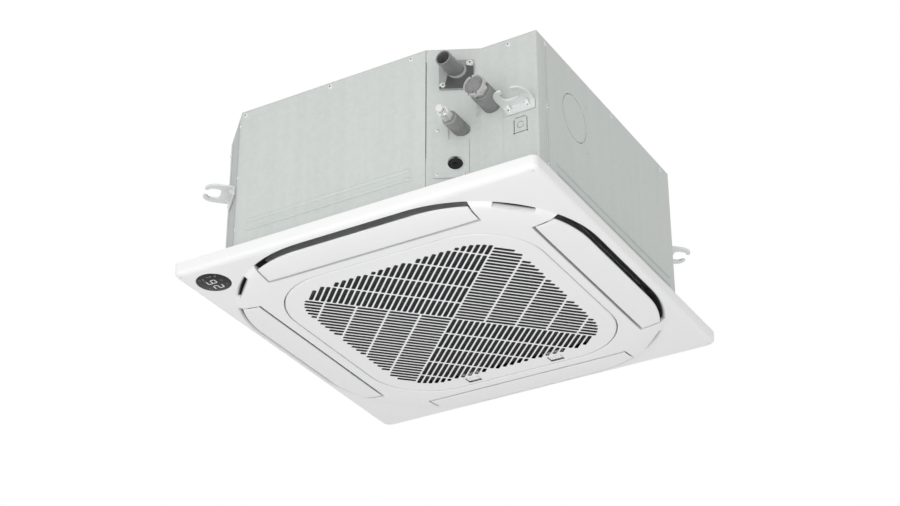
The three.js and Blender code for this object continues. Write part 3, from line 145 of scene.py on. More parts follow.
def mesh_from(points, faces):
    mesh = bpy.data.meshes.new("shape")
    mesh.from_pydata([tuple(p) for p in points], [], [tuple(f) for f in faces])
    mesh.validate()
    bm = bmesh.new()
    bm.from_mesh(mesh)
    bmesh.ops.remove_doubles(bm, verts=bm.verts, dist=1e-4)
    bmesh.ops.recalc_face_normals(bm, faces=bm.faces)
    bm.to_mesh(mesh)
    bm.free()
    return mesh


def joined(*meshes):
    """One mesh from several; the several are dropped."""
    bm = bmesh.new()
    for mesh in meshes:
        bm.from_mesh(mesh)
        bpy.data.meshes.remove(mesh)
    result = bpy.data.meshes.new("shape")
    bm.to_mesh(result)
    bm.free()
    return result


def moved(mesh, matrix):
    mesh.transform(matrix)
    if matrix.determinant() < 0:
        mesh.flip_normals()
    return mesh


def turned(mesh, degrees):
    """A copy of the mesh, turned about Z."""
    copy = mesh.copy()
    copy.transform(Matrix.Rotation(math.radians(degrees), 4, "Z"))
    return copy


def skinned(rings, wrapped=True, capped=False):
    """A mesh through rings of equal counts; wrapped joins the last to the first, capped closes the ends."""
    count = len(rings[0])
    faces = []
    for r in range(len(rings) if wrapped else len(rings) - 1):
        after = (r + 1) % len(rings)
        for i in range(count):
            j = (i + 1) % count
            faces.append((r * count + i, r * count + j, after * count + j, after * count + i))
    if capped:
        last = (len(rings) - 1) * count
        faces.append(tuple(range(count)))
        faces.append(tuple(range(last, last + count)))
    return mesh_from([p for ring in rings for p in ring], faces)


def square_rings(sections, steps):
    return [[(x, y, z) for x, y in rounded_square(half, corner, steps)] for half, corner, z in sections]


def hoop(sections):
    """A closed hoop through rounded squares (half, corner, z) listed round its section."""
    return skinned(square_rings(sections, 24))


def stack(sections):
    """A block through rounded squares (half, corner, z) listed from the bottom up."""
    return skinned(square_rings(sections, 32), wrapped=False, capped=True)


# takes a shape's X, Y and Z to Y, Z and X, so that what stands along Z lies along X
ALONG_X = Matrix(((0, 0, 1, 0), (1, 0, 0, 0), (0, 1, 0, 0), (0, 0, 0, 1)))


def prism(outline, low, high):
    return skinned([[(x, y, z) for x, y in outline] for z in (low, high)], wrapped=False, capped=True)


def box(xs, ys, zs):
    return prism([(xs[0], ys[0]), (xs[1], ys[0]), (xs[1], ys[1]), (xs[0], ys[1])], zs[0], zs[1])


def lathe(profile, sides, closed=False):
    """A profile of (radius, z) turned about Z; open ends on the axis close themselves."""
    angles = [2 * math.pi * i / sides for i in range(sides)]
    rings = [[(radius * math.cos(a), radius * math.sin(a), z) for a in angles] for radius, z in profile]
    return skinned(rings, wrapped=closed)


def rod(radius, low, high, sides=48):
    return lathe([(0, low), (radius, low), (radius, high), (0, high)], sides)


def in_scene(name, data):
    obj = bpy.data.objects.new(name, data)
    bpy.context.scene.collection.objects.link(obj)
    return obj


def evaluated(obj):
    """The object's shape with its modifiers applied, as a mesh; the object is dropped."""
    bpy.context.view_layer.update()
    depsgraph = bpy.context.evaluated_depsgraph_get()
    mesh = bpy.data.meshes.new_from_object(obj.evaluated_get(depsgraph))
    bpy.data.objects.remove(obj)
    return mesh


def carve(mesh, *tools, operation="DIFFERENCE"):
    """The mesh after a boolean with each tool."""
    base = in_scene("carved", mesh)
    helpers = [in_scene("tool", tool) for tool in tools]
    for helper in helpers:
        modifier = base.modifiers.new("cut", "BOOLEAN")
        modifier.operation = operation
        modifier.solver = "EXACT"
        modifier.object = helper
    result = evaluated(base)
    for helper in helpers:
        bpy.data.objects.remove(helper)
    return result


def bevelled(mesh, width, angle=30):
    """Rounds the mesh's edges that are sharper than an angle in degrees."""
    base = in_scene("bevelled", mesh)
    modifier = base.modifiers.new("round", "BEVEL")
    modifier.width = width
    modifier.segments = 2
    modifier.limit_method = "ANGLE"
    modifier.angle_limit = math.radians(angle)
    return evaluated(base)


def plate(outlines, low, high, bevel):
    """A flat plate from closed outlines, holes among them, with rounded edges."""
    curve = bpy.data.curves.new("plate", "CURVE")
    curve.dimensions = "2D"
    curve.fill_mode = "BOTH"
    curve.extrude = (high - low) / 2 - bevel
    curve.bevel_depth = bevel
    curve.bevel_resolution = 1
    curve.offset = -bevel
    for outline in outlines:
        spline = curve.splines.new("POLY")
        spline.points.add(len(outline) - 1)
        for point, (x, y) in zip(spline.points, outline):
            point.co = (x, y, 0, 1)
        spline.use_cyclic_u = True
    mesh = evaluated(in_scene("plate", curve))
    mesh.transform(Matrix.Translation((0, 0, (low + high) / 2)))
    return mesh


def piece(name, mesh, finish, replaces=(), angle=35, body="cassette"):
    """Puts a finished mesh into the scene as a piece of the object."""
    mesh.transform(Matrix.Scale(MM, 4))
    mesh.name = name
    mesh.shade_smooth()
    mesh.set_sharp_from_angle(angle=math.radians(angle))
    mesh.materials.clear()
    mesh.materials.append(finish)
    obj = in_scene(name, mesh)
    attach(obj, body)
    if replaces:
        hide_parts(*replaces)


# ---- faces of the casing


def edge_length(edge):
    (ax, ay), (bx, by) = OUTLINE[edge], OUTLINE[(edge + 1) % 9]
    return math.hypot(bx - ax, by - ay)


def along_edge(edge, distance):
    (ax, ay), (bx, by) = OUTLINE[edge], OUTLINE[(edge + 1) % 9]
    share = distance / edge_length(edge)
    return (ax + (bx - ax) * share, ay + (by - ay) * share)


def face_matrix(edge, u=0, z=0, lift=0):
    """A face's own axes: X along it, Y up, Z outward."""
    (ax, ay), (bx, by) = OUTLINE[edge], OUTLINE[(edge + 1) % 9]
    along = Vector((bx - ax, by - ay, 0)).normalized()
    up = Vector((0, 0, 1))
    outward = along.cross(up)
    rotation = Matrix((along, up, outward)).transposed().to_4x4()
    return Matrix.Translation((ax, ay, 0)) @ rotation @ Matrix.Translation((u, z, lift))


def before_end(edge, distance):
    return along_edge(edge, edge_length(edge) - distance)


def along_minus_y(mesh, edge, u, z):
    """Lays a shape turned about Z along -Y, its zero at the face."""
    place_at = face_matrix(edge, u, z).translation
    return moved(mesh, Matrix.Translation(place_at) @ Matrix.Rotation(math.radians(90), 4, "X"))


def hole_tool(edge, u, z, radius):
    """A cutter along Y through a face."""
    return along_minus_y(rod(radius, -30, 30), edge, u, z)


def behind_face(edge, lift):
    return moved(box((-500, 500), (0, 400), (-200, lift)), face_matrix(edge))


def seam(edge, outline, rise):
    """A low strip of sheet on a face; the outline is what rectangle takes."""
    return moved(prism(rectangle(*outline), -0.3, rise), face_matrix(edge))


def offset_path(path, distance):
    """Moves an open path to its left by a distance, keeping its corners sharp."""
    directions = []
    for (ax, ay), (bx, by) in zip(path, path[1:]):
        length = math.hypot(bx - ax, by - ay)
        directions.append(((bx - ax) / length, (by - ay) / length))
    result = []
    for i, (x, y) in enumerate(path):
        before = directions[max(0, i - 1)]
        after = directions[min(i, len(directions) - 1)]
        nx, ny = -(before[1] + after[1]), before[0] + after[0]
        scale = 2 * distance / (nx * nx + ny * ny)
        result.append((x + nx * scale, y + ny * scale))
    return result


def rounded_path(path):
    """The path with each inner corner turned into a small bend."""
    result = [path[0]]
    for before, here, after in zip(path, path[1:], path[2:]):
        to_before = Vector(before) - Vector(here)
        to_after = Vector(after) - Vector(here)
        start = Vector(here) + to_before.normalized() * BEND_RADIUS
        end = Vector(here) + to_after.normalized() * BEND_RADIUS
        for i in range(BEND_STEPS + 1):
            t = i / BEND_STEPS
            point = start * (1 - t) ** 2 + Vector(here) * 2 * t * (1 - t) + end * t * t
            result.append(tuple(point))
    result.append(path[-1])
    return result


def wall(path):
    bent = rounded_path(path)
    return prism(bent + offset_path(bent, SHEET)[::-1], CASING_LOW, WALL_TOP)


# ---- materials


def fill(tree, node, values):
    """Sets a node's inputs: another node's output is linked, anything else is a plain value."""
    for key, value in values.items():
        socket = node.inputs[key]
        if isinstance(value, bpy.types.NodeSocket):
            tree.links.new(value, socket)
        else:
            socket.default_value = value


def new_node(tree, kind, values):
    node = tree.nodes.new(kind)
    fill(tree, node, values)
    return node


def set_shader(tree, values):
    fill(tree, tree.nodes["Principled BSDF"], values)


def new_material(name, color, roughness, metallic=0.0):
    """A material and its node tree, with plain values in its shader."""
    material = bpy.data.materials.new(name)
    material.use_nodes = True
    tree = material.node_tree
    set_shader(tree, {"Base Color": (*color, 1), "Roughness": roughness, "Metallic": metallic})
    return material, tree


def place(tree, stretch=(1, 1, 1)):
    """The object's own axes, stretched."""
    axes = tree.nodes.new("ShaderNodeTexCoord").outputs["Object"]
    return new_node(tree, "ShaderNodeMapping", {"Vector": axes, "Scale": stretch}).outputs["Vector"]


def noise(tree, vector, scale, detail):
    values = {"Vector": vector, "Scale": scale, "Detail": detail}
    return new_node(tree, "ShaderNodeTexNoise", values).outputs["Fac"]


def cells(tree, vector, scale):
    return new_node(tree, "ShaderNodeTexVoronoi", {"Vector": vector, "Scale": scale}).outputs


def ramp(tree, value, low, high, start=0.35, end=0.65):
    node = new_node(tree, "ShaderNodeValToRGB", {"Fac": value})
    for element, position, color in zip(node.color_ramp.elements, (start, end), (low, high)):
        element.position = position
        element.color = (*color, 1)
    return node.outputs["Color"]


def spread(tree, value, low, high):
    values = {"Value": value, "To Min": low, "To Max": high}
    return new_node(tree, "ShaderNodeMapRange", values).outputs["Result"]


def math_node(tree, operation, *operands):
    """Takes other nodes' outputs and plain numbers."""
    node = tree.nodes.new("ShaderNodeMath")
    node.operation = operation
    fill(tree, node, dict(enumerate(operands)))
    return node.outputs["Value"]


def bump(tree, height, strength, distance):
    values = {"Height": height, "Strength": strength, "Distance": distance}
    return new_node(tree, "ShaderNodeBump", values).outputs["Normal"]


def shade(color, factor):
    return tuple(min(1.0, c * factor) for c in color)


def moulded(name, color, roughness, vary, grain=900, relief=0.05, coat=0.0):
    """Moulded plastic with a fine grain and faint patches of gloss."""
    material, tree = new_material(name, color, roughness)
    vector = place(tree)
    patches = noise(tree, vector, 9, 2)
    set_shader(tree, {
        "Base Color": ramp(tree, patches, shade(color, 1 - vary), shade(color, 1 + vary)),
        "Roughness": spread(tree, patches, roughness - 0.05, roughness + 0.05),
        "Normal": bump(tree, noise(tree, vector, grain, 2), relief, 0.0002),
        "Coat Weight": coat,
    })
    return material


def painted_shade_inside(material, dark, test):
    """Paints shade: mixes a dark colour in where the test, built from the object's own axes, gives 1."""
    tree = material.node_tree
    plain = tree.nodes["Principled BSDF"].inputs["Base Color"].links[0].from_socket
    axes = new_node(tree, "ShaderNodeSeparateXYZ", {"Vector": place(tree)}).outputs
    mix = tree.nodes.new("ShaderNodeMix")
    mix.data_type = "RGBA"
    fill(tree, mix, {"Factor": test(tree, axes), "A": plain, "B": (*dark, 1)})
    set_shader(tree, {"Base Color": mix.outputs["Result"]})
    return material


def above(height, soft):
    """A test that rises from 0 to 1 over a soft step at a height, both in millimetres."""
    def test(tree, axes):
        values = {"Value": axes["Z"], "From Min": height * MM, "From Max": (height + soft) * MM}
        return new_node(tree, "ShaderNodeMapRange", values).outputs["Result"]
    return test


def above_within(height, soft, half):
    """The same, only inside a square round the object's middle."""
    def test(tree, axes):
        across = [math_node(tree, "ABSOLUTE", axes[axis]) for axis in "XY"]
        farthest = math_node(tree, "MAXIMUM", *across)
        inside = math_node(tree, "LESS_THAN", farthest, half * MM)
        return math_node(tree, "MULTIPLY", above(height, soft)(tree, axes), inside)
    return test


def galvanised(name, color, roughness=0.46, metallic=0.12):
    """Zinc-coated sheet with faint crystals and rolling streaks."""
    material, tree = new_material(name, color, roughness, metallic)
    crystals = cells(tree, place(tree), 160)["Color"]
    spangle = new_node(tree, "ShaderNodeSeparateColor", {"Color": crystals}).outputs["Red"]
    streaks = noise(tree, place(tree, (1, 1, 0.04)), 60, 3)
    mixed = math_node(tree, "MULTIPLY_ADD", spangle, 0.35, streaks)
    set_shader(tree, {
        "Base Color": ramp(tree, mixed, shade(color, 0.965), shade(color, 1.03), 0.4, 0.95),
        "Roughness": spread(tree, mixed, roughness - 0.08, roughness + 0.1),
        "Normal": bump(tree, streaks, 0.04, 0.0003),
        "Specular IOR Level": 0.3,
    })
    return material


def metal(name, color, roughness, vary=0.12, stretch=(1, 1, 1), grain=240):
    """Bare metal with a turned or drawn grain and slight tarnish."""
    material, tree = new_material(name, color, roughness, 1.0)
    patches = noise(tree, place(tree), 35, 4)
    grained = noise(tree, place(tree, stretch), grain, 2)
    set_shader(tree, {
        "Base Color": ramp(tree, patches, shade(color, 1 - vary), shade(color, 1 + vary / 2)),
        "Roughness": spread(tree, grained, roughness - 0.08, roughness + 0.12),
        "Normal": bump(tree, grained, 0.06, 0.0002),
    })
    return material


def foam(name, color, pitting=1400, relief=0.5, vary=0.14):
    """Closed-cell foam: small pits and a dull uneven tone."""
    material, tree = new_material(name, color, 0.92)
    vector = place(tree)
    tone = noise(tree, vector, 45, 4)
    set_shader(tree, {
        "Base Color": ramp(tree, tone, shade(color, 1 - vary), shade(color, 1 + vary)),
        "Normal": bump(tree, cells(tree, vector, pitting)["Distance"], relief, 0.0004),
    })
    return material


def banded(name, dark, light, scale, roughness, metallic):
    """Thin diagonal bands, such as aluminium fins seen on edge or a woven net."""
    material, tree = new_material(name, light, roughness, metallic)
    waves = new_node(tree, "ShaderNodeTexWave", {"Vector": place(tree), "Scale": scale, "Distortion": 0.4})
    waves.bands_direction = "DIAGONAL"
    bands = waves.outputs["Fac"]
    set_shader(tree, {
        "Base Color": ramp(tree, bands, dark, light, 0.3, 0.6),
        "Normal": bump(tree, bands, 0.6, 0.0006),
    })
    return material


def glowing(name, color, strength):
    """A lit mark on the display."""
    material, tree = new_material(name, color, 0.4)
    set_shader(tree, {
        "Base Color": ramp(tree, noise(tree, place(tree), 300, 2), shade(color, 0.92), color),
        "Emission Color": (*color, 1),
        "Emission Strength": strength,
    })
    return material


def glossy_white(name, color=(0.86, 0.865, 0.86), roughness=0.38):
    return moulded(name, color, roughness, 0.006, 1100, 0.02, 0.12)


PANEL_WHITE = glossy_white("panel_white")
# painted shade: the walls of the panel's air ducts are darkened in their colour
SHELL_WHITE_DUCT_SHADE = painted_shade_inside(glossy_white("shell_white_duct_shade"), (0.03, 0.031, 0.03), above_within(11.5, 3, 302))
# painted shade: the walls of the grille's slots and the back of its field are darkened in their colour
FIELD_WHITE_SLOT_SHADE = painted_shade_inside(glossy_white("field_white_slot_shade"), (0.012, 0.012, 0.012), above(FIELD_BEVEL, 0.1))
VANE_WHITE = glossy_white("vane_white", (0.85, 0.855, 0.85), 0.36)
ZINC = galvanised("galvanised_sheet", (0.60, 0.635, 0.615))
# a darker copy of the galvanised sheet: painted shade for the corner panels, which face away from the light
ZINC_PAINTED_SHADE = galvanised("galvanised_shaded", (0.47, 0.50, 0.49))
BRIGHT_ZINC = galvanised("bright_zinc", (0.74, 0.76, 0.75), 0.32, 0.5)
FOAM_GREY = foam("pipe_foam", (0.27, 0.28, 0.275))
FOAM_BLACK = foam("lining_foam", (0.05, 0.052, 0.055))
PAN_FOAM = foam("pan_foam", (0.72, 0.73, 0.73), 700, 0.35, 0.04)
DISPLAY_BLACK = moulded("display_black", (0.008, 0.008, 0.009), 0.3, 0.1, 600, 0.0)
set_shader(DISPLAY_BLACK.node_tree, {"Specular IOR Level": 0.2})
BLACK_PLASTIC = moulded("inlet_black", (0.03, 0.032, 0.034), 0.5, 0.1)
FAN_GREY = moulded("fan_grey", (0.09, 0.10, 0.105), 0.5, 0.08)
FLANGE_REFLECTION_GREY = moulded("flange_grey_painted_reflection", (0.33, 0.345, 0.34), 0.5, 0.06, 700, 0.15)
PIPE_GREY = moulded("drain_grey", (0.20, 0.205, 0.203), 0.3, 0.08, 500, 0.1, 0.4)
CHARCOAL = moulded("charcoal_plastic", (0.065, 0.067, 0.067), 0.42, 0.08, 700, 0.1)
SCREW_RECESS_SHADE = metal("painted_recess_shade", (0.05, 0.05, 0.05), 0.5)
CAP_GREY = moulded("cap_grey", (0.22, 0.225, 0.222), 0.25, 0.12, 160, 0.1, 0.5)
CAP_RIM = moulded("cap_rim", (0.50, 0.50, 0.495), 0.25, 0.08, 400, 0.1, 0.3)
CAP_WHITE = moulded("cap_white", (0.78, 0.79, 0.78), 0.35, 0.05, 500, 0.1)
CREAM = moulded("motor_cream", (0.70, 0.67, 0.58), 0.5, 0.04)
BOARD_GREEN = moulded("board_green", (0.03, 0.16, 0.06), 0.4, 0.2, 300, 0.2)
PUMP_WHITE = moulded("pump_white", (0.78, 0.78, 0.75), 0.45, 0.04)
HOSE_GREY = moulded("hose_grey", (0.56, 0.60, 0.59), 0.45, 0.06)
RUBBER = foam("plug_rubber", (0.012, 0.012, 0.013), 900, 0.2, 0.3)
STEEL = metal("plain_steel", (0.55, 0.57, 0.59), 0.35)
MOTOR_PAINT = moulded("motor_grey", (0.18, 0.20, 0.215), 0.45, 0.08)
COPPER = metal("copper", (0.80, 0.42, 0.27), 0.32, 0.25, (1, 0.1, 1), 90)
BRASS = metal("nut_metal", (0.80, 0.80, 0.78), 0.28, 0.12)
FINS = banded("coil_fins", (0.20, 0.21, 0.22), (0.72, 0.74, 0.76), 260, 0.4, 0.8)
NET = banded("filter_net", (0.008, 0.008, 0.009), (0.05, 0.05, 0.054), 300, 0.8, 0.0)

# ---- decoration panel


def block_z(half):
    share = max(0.0, half - RING_HALF) / (BLOCK_HALF - RING_HALF)
    return BLOCK_RISE * share * share


def block_corner(half):
    return RING_CORNER + (BLOCK_CORNER - RING_CORNER) * (half - RING_HALF) / (BLOCK_HALF - RING_HALF)


def block_sections():
    halves = [RING_HALF + (BLOCK_HALF - RING_HALF) * i / 10 for i in range(11)]
    return [(half, block_corner(half), block_z(half)) for half in halves]


def underside_sections():
    return [
        (OPENING_HALF, OPENING_CORNER, 0.9),
        (OPENING_HALF + 0.9, OPENING_CORNER + 0.9, 0),
        *block_sections(),
        (294, 199, 7.0),
        (299.2, 208.6, 9.6),
        (LIP_HALF, LIP_CORNER, LIP_Z),
        (301, 160, 10.3),
        (303, 20, 11.2),
        (306.5, 14, 12.6),
        (308.4, 11.5, 14.2),
        (309.5, 10.4, 16),
        (PANEL_HALF, 10, 18),
    ]


def panel_shell():
    underside = underside_sections()
    upper = [(half, corner, z + WALL) for half, corner, z in underside[2:-6]]
    return hoop([
        *underside,
        (PANEL_HALF, 10, CEILING_Z - 0.6), (PANEL_HALF - 0.6, 10, CEILING_Z),
        (304, 11, CEILING_Z), (304, 11, 30), (306.5, 13, 29), (306.5, 13, 17.5), (303, 22, 14.4),
        *upper[::-1],
        (OPENING_HALF + WALL, OPENING_CORNER + WALL, 3), (OPENING_HALF + WALL, OPENING_CORNER + WALL, 14),
        (OPENING_HALF, OPENING_CORNER, 14),
    ])


def space_over_panel():
    """From inside the panel's wall up to the ceiling; it shares no face with the panel."""
    return hoop([
        *[(half, corner, z + WALL / 2) for half, corner, z in underside_sections()[:-1]],
        (PANEL_HALF, 10, CEILING_Z), (OPENING_HALF, OPENING_CORNER, CEILING_Z),
    ])


def arm_slot(x):
    """Where a grille arm passes the wall of the opening, with a thin floor under its knuckle."""
    return box((x - 5.7, x + 5.7), (-230.1, -218.4), (1.5, 15.2))


def tongue_slot(x):
    """Where a latch's tongue enters the wall of the opening."""
    return box((x - 9, x + 9), (OPENING_HALF - 1, OPENING_HALF + WALL + 1), (3.8, 6.8))


def hinge_lugs(x):
    parts = [box((x + a, x + b), (-229, -223), (1.6, 8.5)) for a, b in ((-8, -5.7), (5.7, 8))]
    return [*parts, moved(rod(1.5, x - 7, x + 7, 24), Matrix.Translation((0, HINGE_Y, HINGE_Z)) @ ALONG_X)]


def duct_space(margin):
    """The tapering space of the ducts; without a margin it is a cutter and stands past the top."""
    top = CEILING_Z if margin else CEILING_Z + 1
    return stack([
        (LIP_HALF + margin, LIP_CORNER + margin, -LIP_Z), (LIP_HALF + margin, LIP_CORNER + margin, LIP_Z),
        (DUCT_HALF + margin, 184 + margin, top),
    ])


def outlet_areas(margin):
    """The four long outlets and the four short ones across the corners, as tall blocks."""
    reach, inner = OUTLET_HALF_LENGTH + margin, -OUTLET_INNER + margin
    side = [(-reach, -PANEL_HALF), (reach, -PANEL_HALF), (reach, inner), (-reach, inner)]
    near, far = SLOT_START - 2 * margin / math.sqrt(2), PANEL_HALF
    corner = [(near, SLOT_END), (SLOT_END, near), (SLOT_END + far, near + far), (near + far, SLOT_END + far)]
    blocks = [prism(outline, -LIP_Z, 2 * CEILING_Z) for outline in (side, corner)]
    return joined(*[turned(block, 90 * quarter) for quarter in range(4) for block in blocks])


def display_disc(radius, low, high):
    return moved(rod(radius, low, high, 96), Matrix.Translation((*DISPLAY, 0)))


def build_panel():
    collars = carve(outlet_areas(WALL), duct_space(WALL), space_over_panel(), operation="INTERSECT")
    cup = display_disc(DISPLAY_RADIUS + 2.5, 13, 20)
    shell = carve(panel_shell(), collars, cup, operation="UNION")
    outlets = carve(outlet_areas(0), duct_space(0), operation="INTERSECT")
    slots = joined(arm_slot(-HINGE_X), arm_slot(HINGE_X), tongue_slot(-LATCH_X), tongue_slot(LATCH_X))
    shell = carve(shell, outlets, display_disc(DISPLAY_RADIUS + 0.3, -5, 21), slots)
    shell = joined(shell, *hinge_lugs(-HINGE_X), *hinge_lugs(HINGE_X))
    piece("panel_moulding", shell, SHELL_WHITE_DUCT_SHADE, ["decoration_panel"], 28)


def edge_reach(x):
    """How far out the block's outline is at a distance x from the middle of a side."""
    inset = BLOCK_HALF - BLOCK_CORNER
    beyond = max(0.0, abs(x) - inset)
    return inset + math.sqrt(BLOCK_CORNER**2 - beyond**2)


def half_at(x, y):
    """Which of the nested rounded squares passes through a point of the block."""
    low, high = RING_HALF - 30, BLOCK_HALF + 5
    for _ in range(40):
        half = (low + high) / 2
        inset = half - block_corner(half)
        dx, dy = max(0.0, abs(x) - inset), max(0.0, abs(y) - inset)
        outside = math.hypot(dx, dy) > half - inset
        low, high = (half, high) if outside else (low, half)
    return low


def louver_mesh():
    """A blade that follows the block's curved underside, with its ears, pins and stiffening ribs."""
    columns, rows = 72, 16
    rings = []
    for i in range(columns + 1):
        x = -LOUVER_HALF_LENGTH + 2 * LOUVER_HALF_LENGTH * i / columns
        width = edge_reach(x) - LOUVER_INNER
        ends = min(i / columns, 1 - i / columns) * 2 * LOUVER_HALF_LENGTH
        under, over = [], []
        for j in range(rows + 1):
            y = -(LOUVER_INNER + width * j / rows)
            z = block_z(half_at(x, y))
            rim = min(j / rows, 1 - j / rows) * width
            edge = max(0.0, 1 - min(rim, ends) / 1.2)
            under.append((x, y, z + 0.5 * edge * edge))
            over.append((x, y, z + LOUVER_THICKNESS))
        rings.append(under + over[::-1])
    parts = [skinned(rings, wrapped=False, capped=True)]
    ear = [(-261, 3.6), (-256, 10.5), (-254, 12.6), (-252, 13), (-250, 12.6), (-248, 10.5), (-243, 2.2)]
    for x in (-LOUVER_HALF_LENGTH + 2, LOUVER_HALF_LENGTH - 2):
        parts.append(bar_x(ear, x - 2, x + 2))
    for low, high in ((-185.7, -LOUVER_HALF_LENGTH + 1), (LOUVER_HALF_LENGTH - 1, 182)):
        pin = rod(2.5, low, high, 24)
        parts.append(moved(pin, Matrix.Translation((0, PIVOT_Y, PIVOT_Z)) @ ALONG_X))
    for x in range(-150, 151, 60):
        parts.append(box((x - 0.8, x + 0.8), (-276, -245), (block_z(276) + 2, block_z(276) + 6)))
    return joined(*parts)


def build_louvers():
    for quarter, side in enumerate(SIDES):
        mesh = turned(louver_mesh(), 90 * quarter)
        node = f"louver_{side}"
        piece(f"louver_blade_{side}", mesh, VANE_WHITE, [node], 40, node)


# ---- intake grille


def inside_field(x, y):
    inset = FIELD_HALF - FIELD_CORNER
    dx, dy = max(0.0, abs(x) - inset), max(0.0, abs(y) - inset)
    return math.hypot(dx, dy) <= FIELD_CORNER


def from_diagonal(s, t):
    """A point s along the quarter's diagonal and t away from it, in the part's X and Y."""
    return (s - t) / math.sqrt(2), (-s - t) / math.sqrt(2)


def grille_slots():
    """The front quarter's slots; rows step away from one diagonal and run along it."""
    outlines = []
    reach = FIELD_HALF * math.sqrt(2)
    for row in range(int(reach / SLOT_PITCH)):
        away = (row + 0.5) * SLOT_PITCH
        for segment in range(int(reach / CROSS_PITCH) + 1):
            near = segment * CROSS_PITCH + CROSS_WIDTH / 2
            far = near + CROSS_PITCH - CROSS_WIDTH
            samples = [near + (far - near) * i / 90 for i in range(91)]
            kept = [s for s in samples if inside_field(*from_diagonal(s, away))]
            if not kept or kept[-1] - kept[0] < LEAST_SLOT:
                continue
            half = SLOT_WIDTH / 2
            outline = rectangle(kept[0], kept[-1], away - half, away + half, SLOT_END_RADIUS, 4)
            outlines.append([from_diagonal(s, t) for s, t in outline])
    return outlines


def rotate_points(points, quarter):
    c, s = round(math.cos(quarter * math.pi / 2)), round(math.sin(quarter * math.pi / 2))
    return [(c * x - s * y, s * x + c * y) for x, y in points]


def bar_x(outline, low, high):
    """An outline in Y and Z, run along X."""
    return moved(prism(outline, low, high), ALONG_X)


def hinge_arm(x):
    """From the rim over the wall of the panel's opening and down to the hinge pin."""
    knuckle = arc((HINGE_Y, HINGE_Z), 3.4, math.pi, 2 * math.pi + 0.7, 24)
    inside = HINGE_Y + 2.6
    outline = [*knuckle, (inside, 12.7), (-GRILLE_HALF, 12.7), (-GRILLE_HALF, 10), (-214.5, 10),
               (-214.5, 15.5), (HINGE_Y - 0.4, 15.5), (HINGE_Y - 3.4, 12.5)]
    return bevelled(bar_x(outline, x - 5, x + 5), 0.4)


def latch_guides(x):
    parts = []
    for side in (-1, 1):
        wall_ends = sorted((x + side * 16.3, x + side * 18.3))
        lip_ends = sorted((x + side * 13, x + side * 18.3))
        parts.append(box(wall_ends, (189.5, 206.2), (3, 8.1)))
        parts.append(box(lip_ends, (189.5, 206.2), (6.6, 8.1)))
    return parts


def build_grille():
    quarter = grille_slots()
    slots = [rotate_points(slot, turn) for turn in range(4) for slot in quarter]
    windows = [rectangle(x - 12, x + 12, 192.5, 210, 1.2) for x in (-LATCH_X, LATCH_X)]
    outer = GRILLE_HALF
    rim, rim_corner = outer - 1.6, GRILLE_CORNER - 1.6
    field = plate([rounded_square(rim, rim_corner, 32), *slots, *windows], 0, FIELD_THICKNESS, FIELD_BEVEL)
    piece("grille_field", field, FIELD_WHITE_SLOT_SHADE, ["intake_grille"], body="grille")
    border = hoop([
        (rim - 0.3, rim_corner - 0.3, 0.2), (rim + 0.4, rim_corner + 0.4, 0.25),
        (outer - 0.4, GRILLE_CORNER - 0.4, 1.0), (outer, GRILLE_CORNER, 2.0), (outer, GRILLE_CORNER, 11),
        (outer - 2.5, GRILLE_CORNER - 2.5, 11), (outer - 2.5, GRILLE_CORNER - 2.5, 1.3),
        (rim - 0.3, rim_corner - 0.3, 1.3),
    ])
    border = carve(border, *[box((x - 9, x + 9), (212, 220), (3.8, 6.8)) for x in (-LATCH_X, LATCH_X)])
    details = [*latch_guides(-LATCH_X), *latch_guides(LATCH_X), hinge_arm(-HINGE_X), hinge_arm(HINGE_X)]
    moulding = joined(border, *details)
    piece("grille_moulding", moulding, PANEL_WHITE, ["intake_grille"], body="grille")


def latch_mesh(x):
    slider = plate([rectangle(x - 16, x + 16, 187.5, 210.2, 1.5)], 4.3, 6.3, 0.3)
    tongue = plate([rectangle(x - 8, x + 8, 208, 216.9, 1.2)], 4.4, 6.2, 0.3)
    thumb = plate([rectangle(x - 10.6, x + 10.6, 193.6, 205.6, 1.4)], 0.9, 4.5, 0.4)
    parts = [slider, tongue, thumb]
    for step in range(4):
        y = 195.2 + step * 2.6
        parts.append(plate([rectangle(x - 7, x + 7, y, y + 1.3, 0.6)], 0.3, 1.1, 0.3))
    return joined(*parts)


def build_latches():
    for side, x in (("left", -LATCH_X), ("right", LATCH_X)):
        node = f"latch_{side}"
        piece(f"latch_slider_{side}", latch_mesh(x), VANE_WHITE, [node], body=node)


def build_filter():
    half, corner = 185, 73
    frame_mesh = hoop([
        (half, corner, 4.8), (half, corner, 7.8), (half - 0.5, corner - 0.5, 8.3),
        (half - 6.5, corner - 6.5, 8.3), (half - 7, corner - 7, 7.8), (half - 7, corner - 7, 4.8),
        (half - 6.5, corner - 6.5, 4.3), (half - 0.5, corner - 0.5, 4.3),
    ])
    ribs = []
    inner = half - 6
    for i in range(1, 8):
        place_at = -inner + 2 * inner * i / 8
        reach = inner if abs(place_at) < 112 else 112 + math.sqrt(66**2 - (abs(place_at) - 112) ** 2)
        ribs.append(box((place_at - 1.2, place_at + 1.2), (-reach, reach), (4.9, 7.7)))
        ribs.append(box((-reach, reach), (place_at - 1.2, place_at + 1.2), (5.0, 7.6)))
    basket = joined(frame_mesh, *ribs)
    piece("filter_frame", basket, BLACK_PLASTIC, ["air_filter"], body="grille")
    net = prism(rounded_square(inner, 66, 24), 5.3, 6.3)
    piece("filter_net", net, NET, ["air_filter"], body="grille")


# ---- display

# which of the seven strokes each numeral lights: top, upper left, upper right, middle,
# lower left, lower right, bottom
NUMERALS = {"2": "1011101", "6": "1101111"}
NUMERAL_WIDTH, NUMERAL_HEIGHT, STROKE_WIDTH = 10.5, 16.5, 1.7


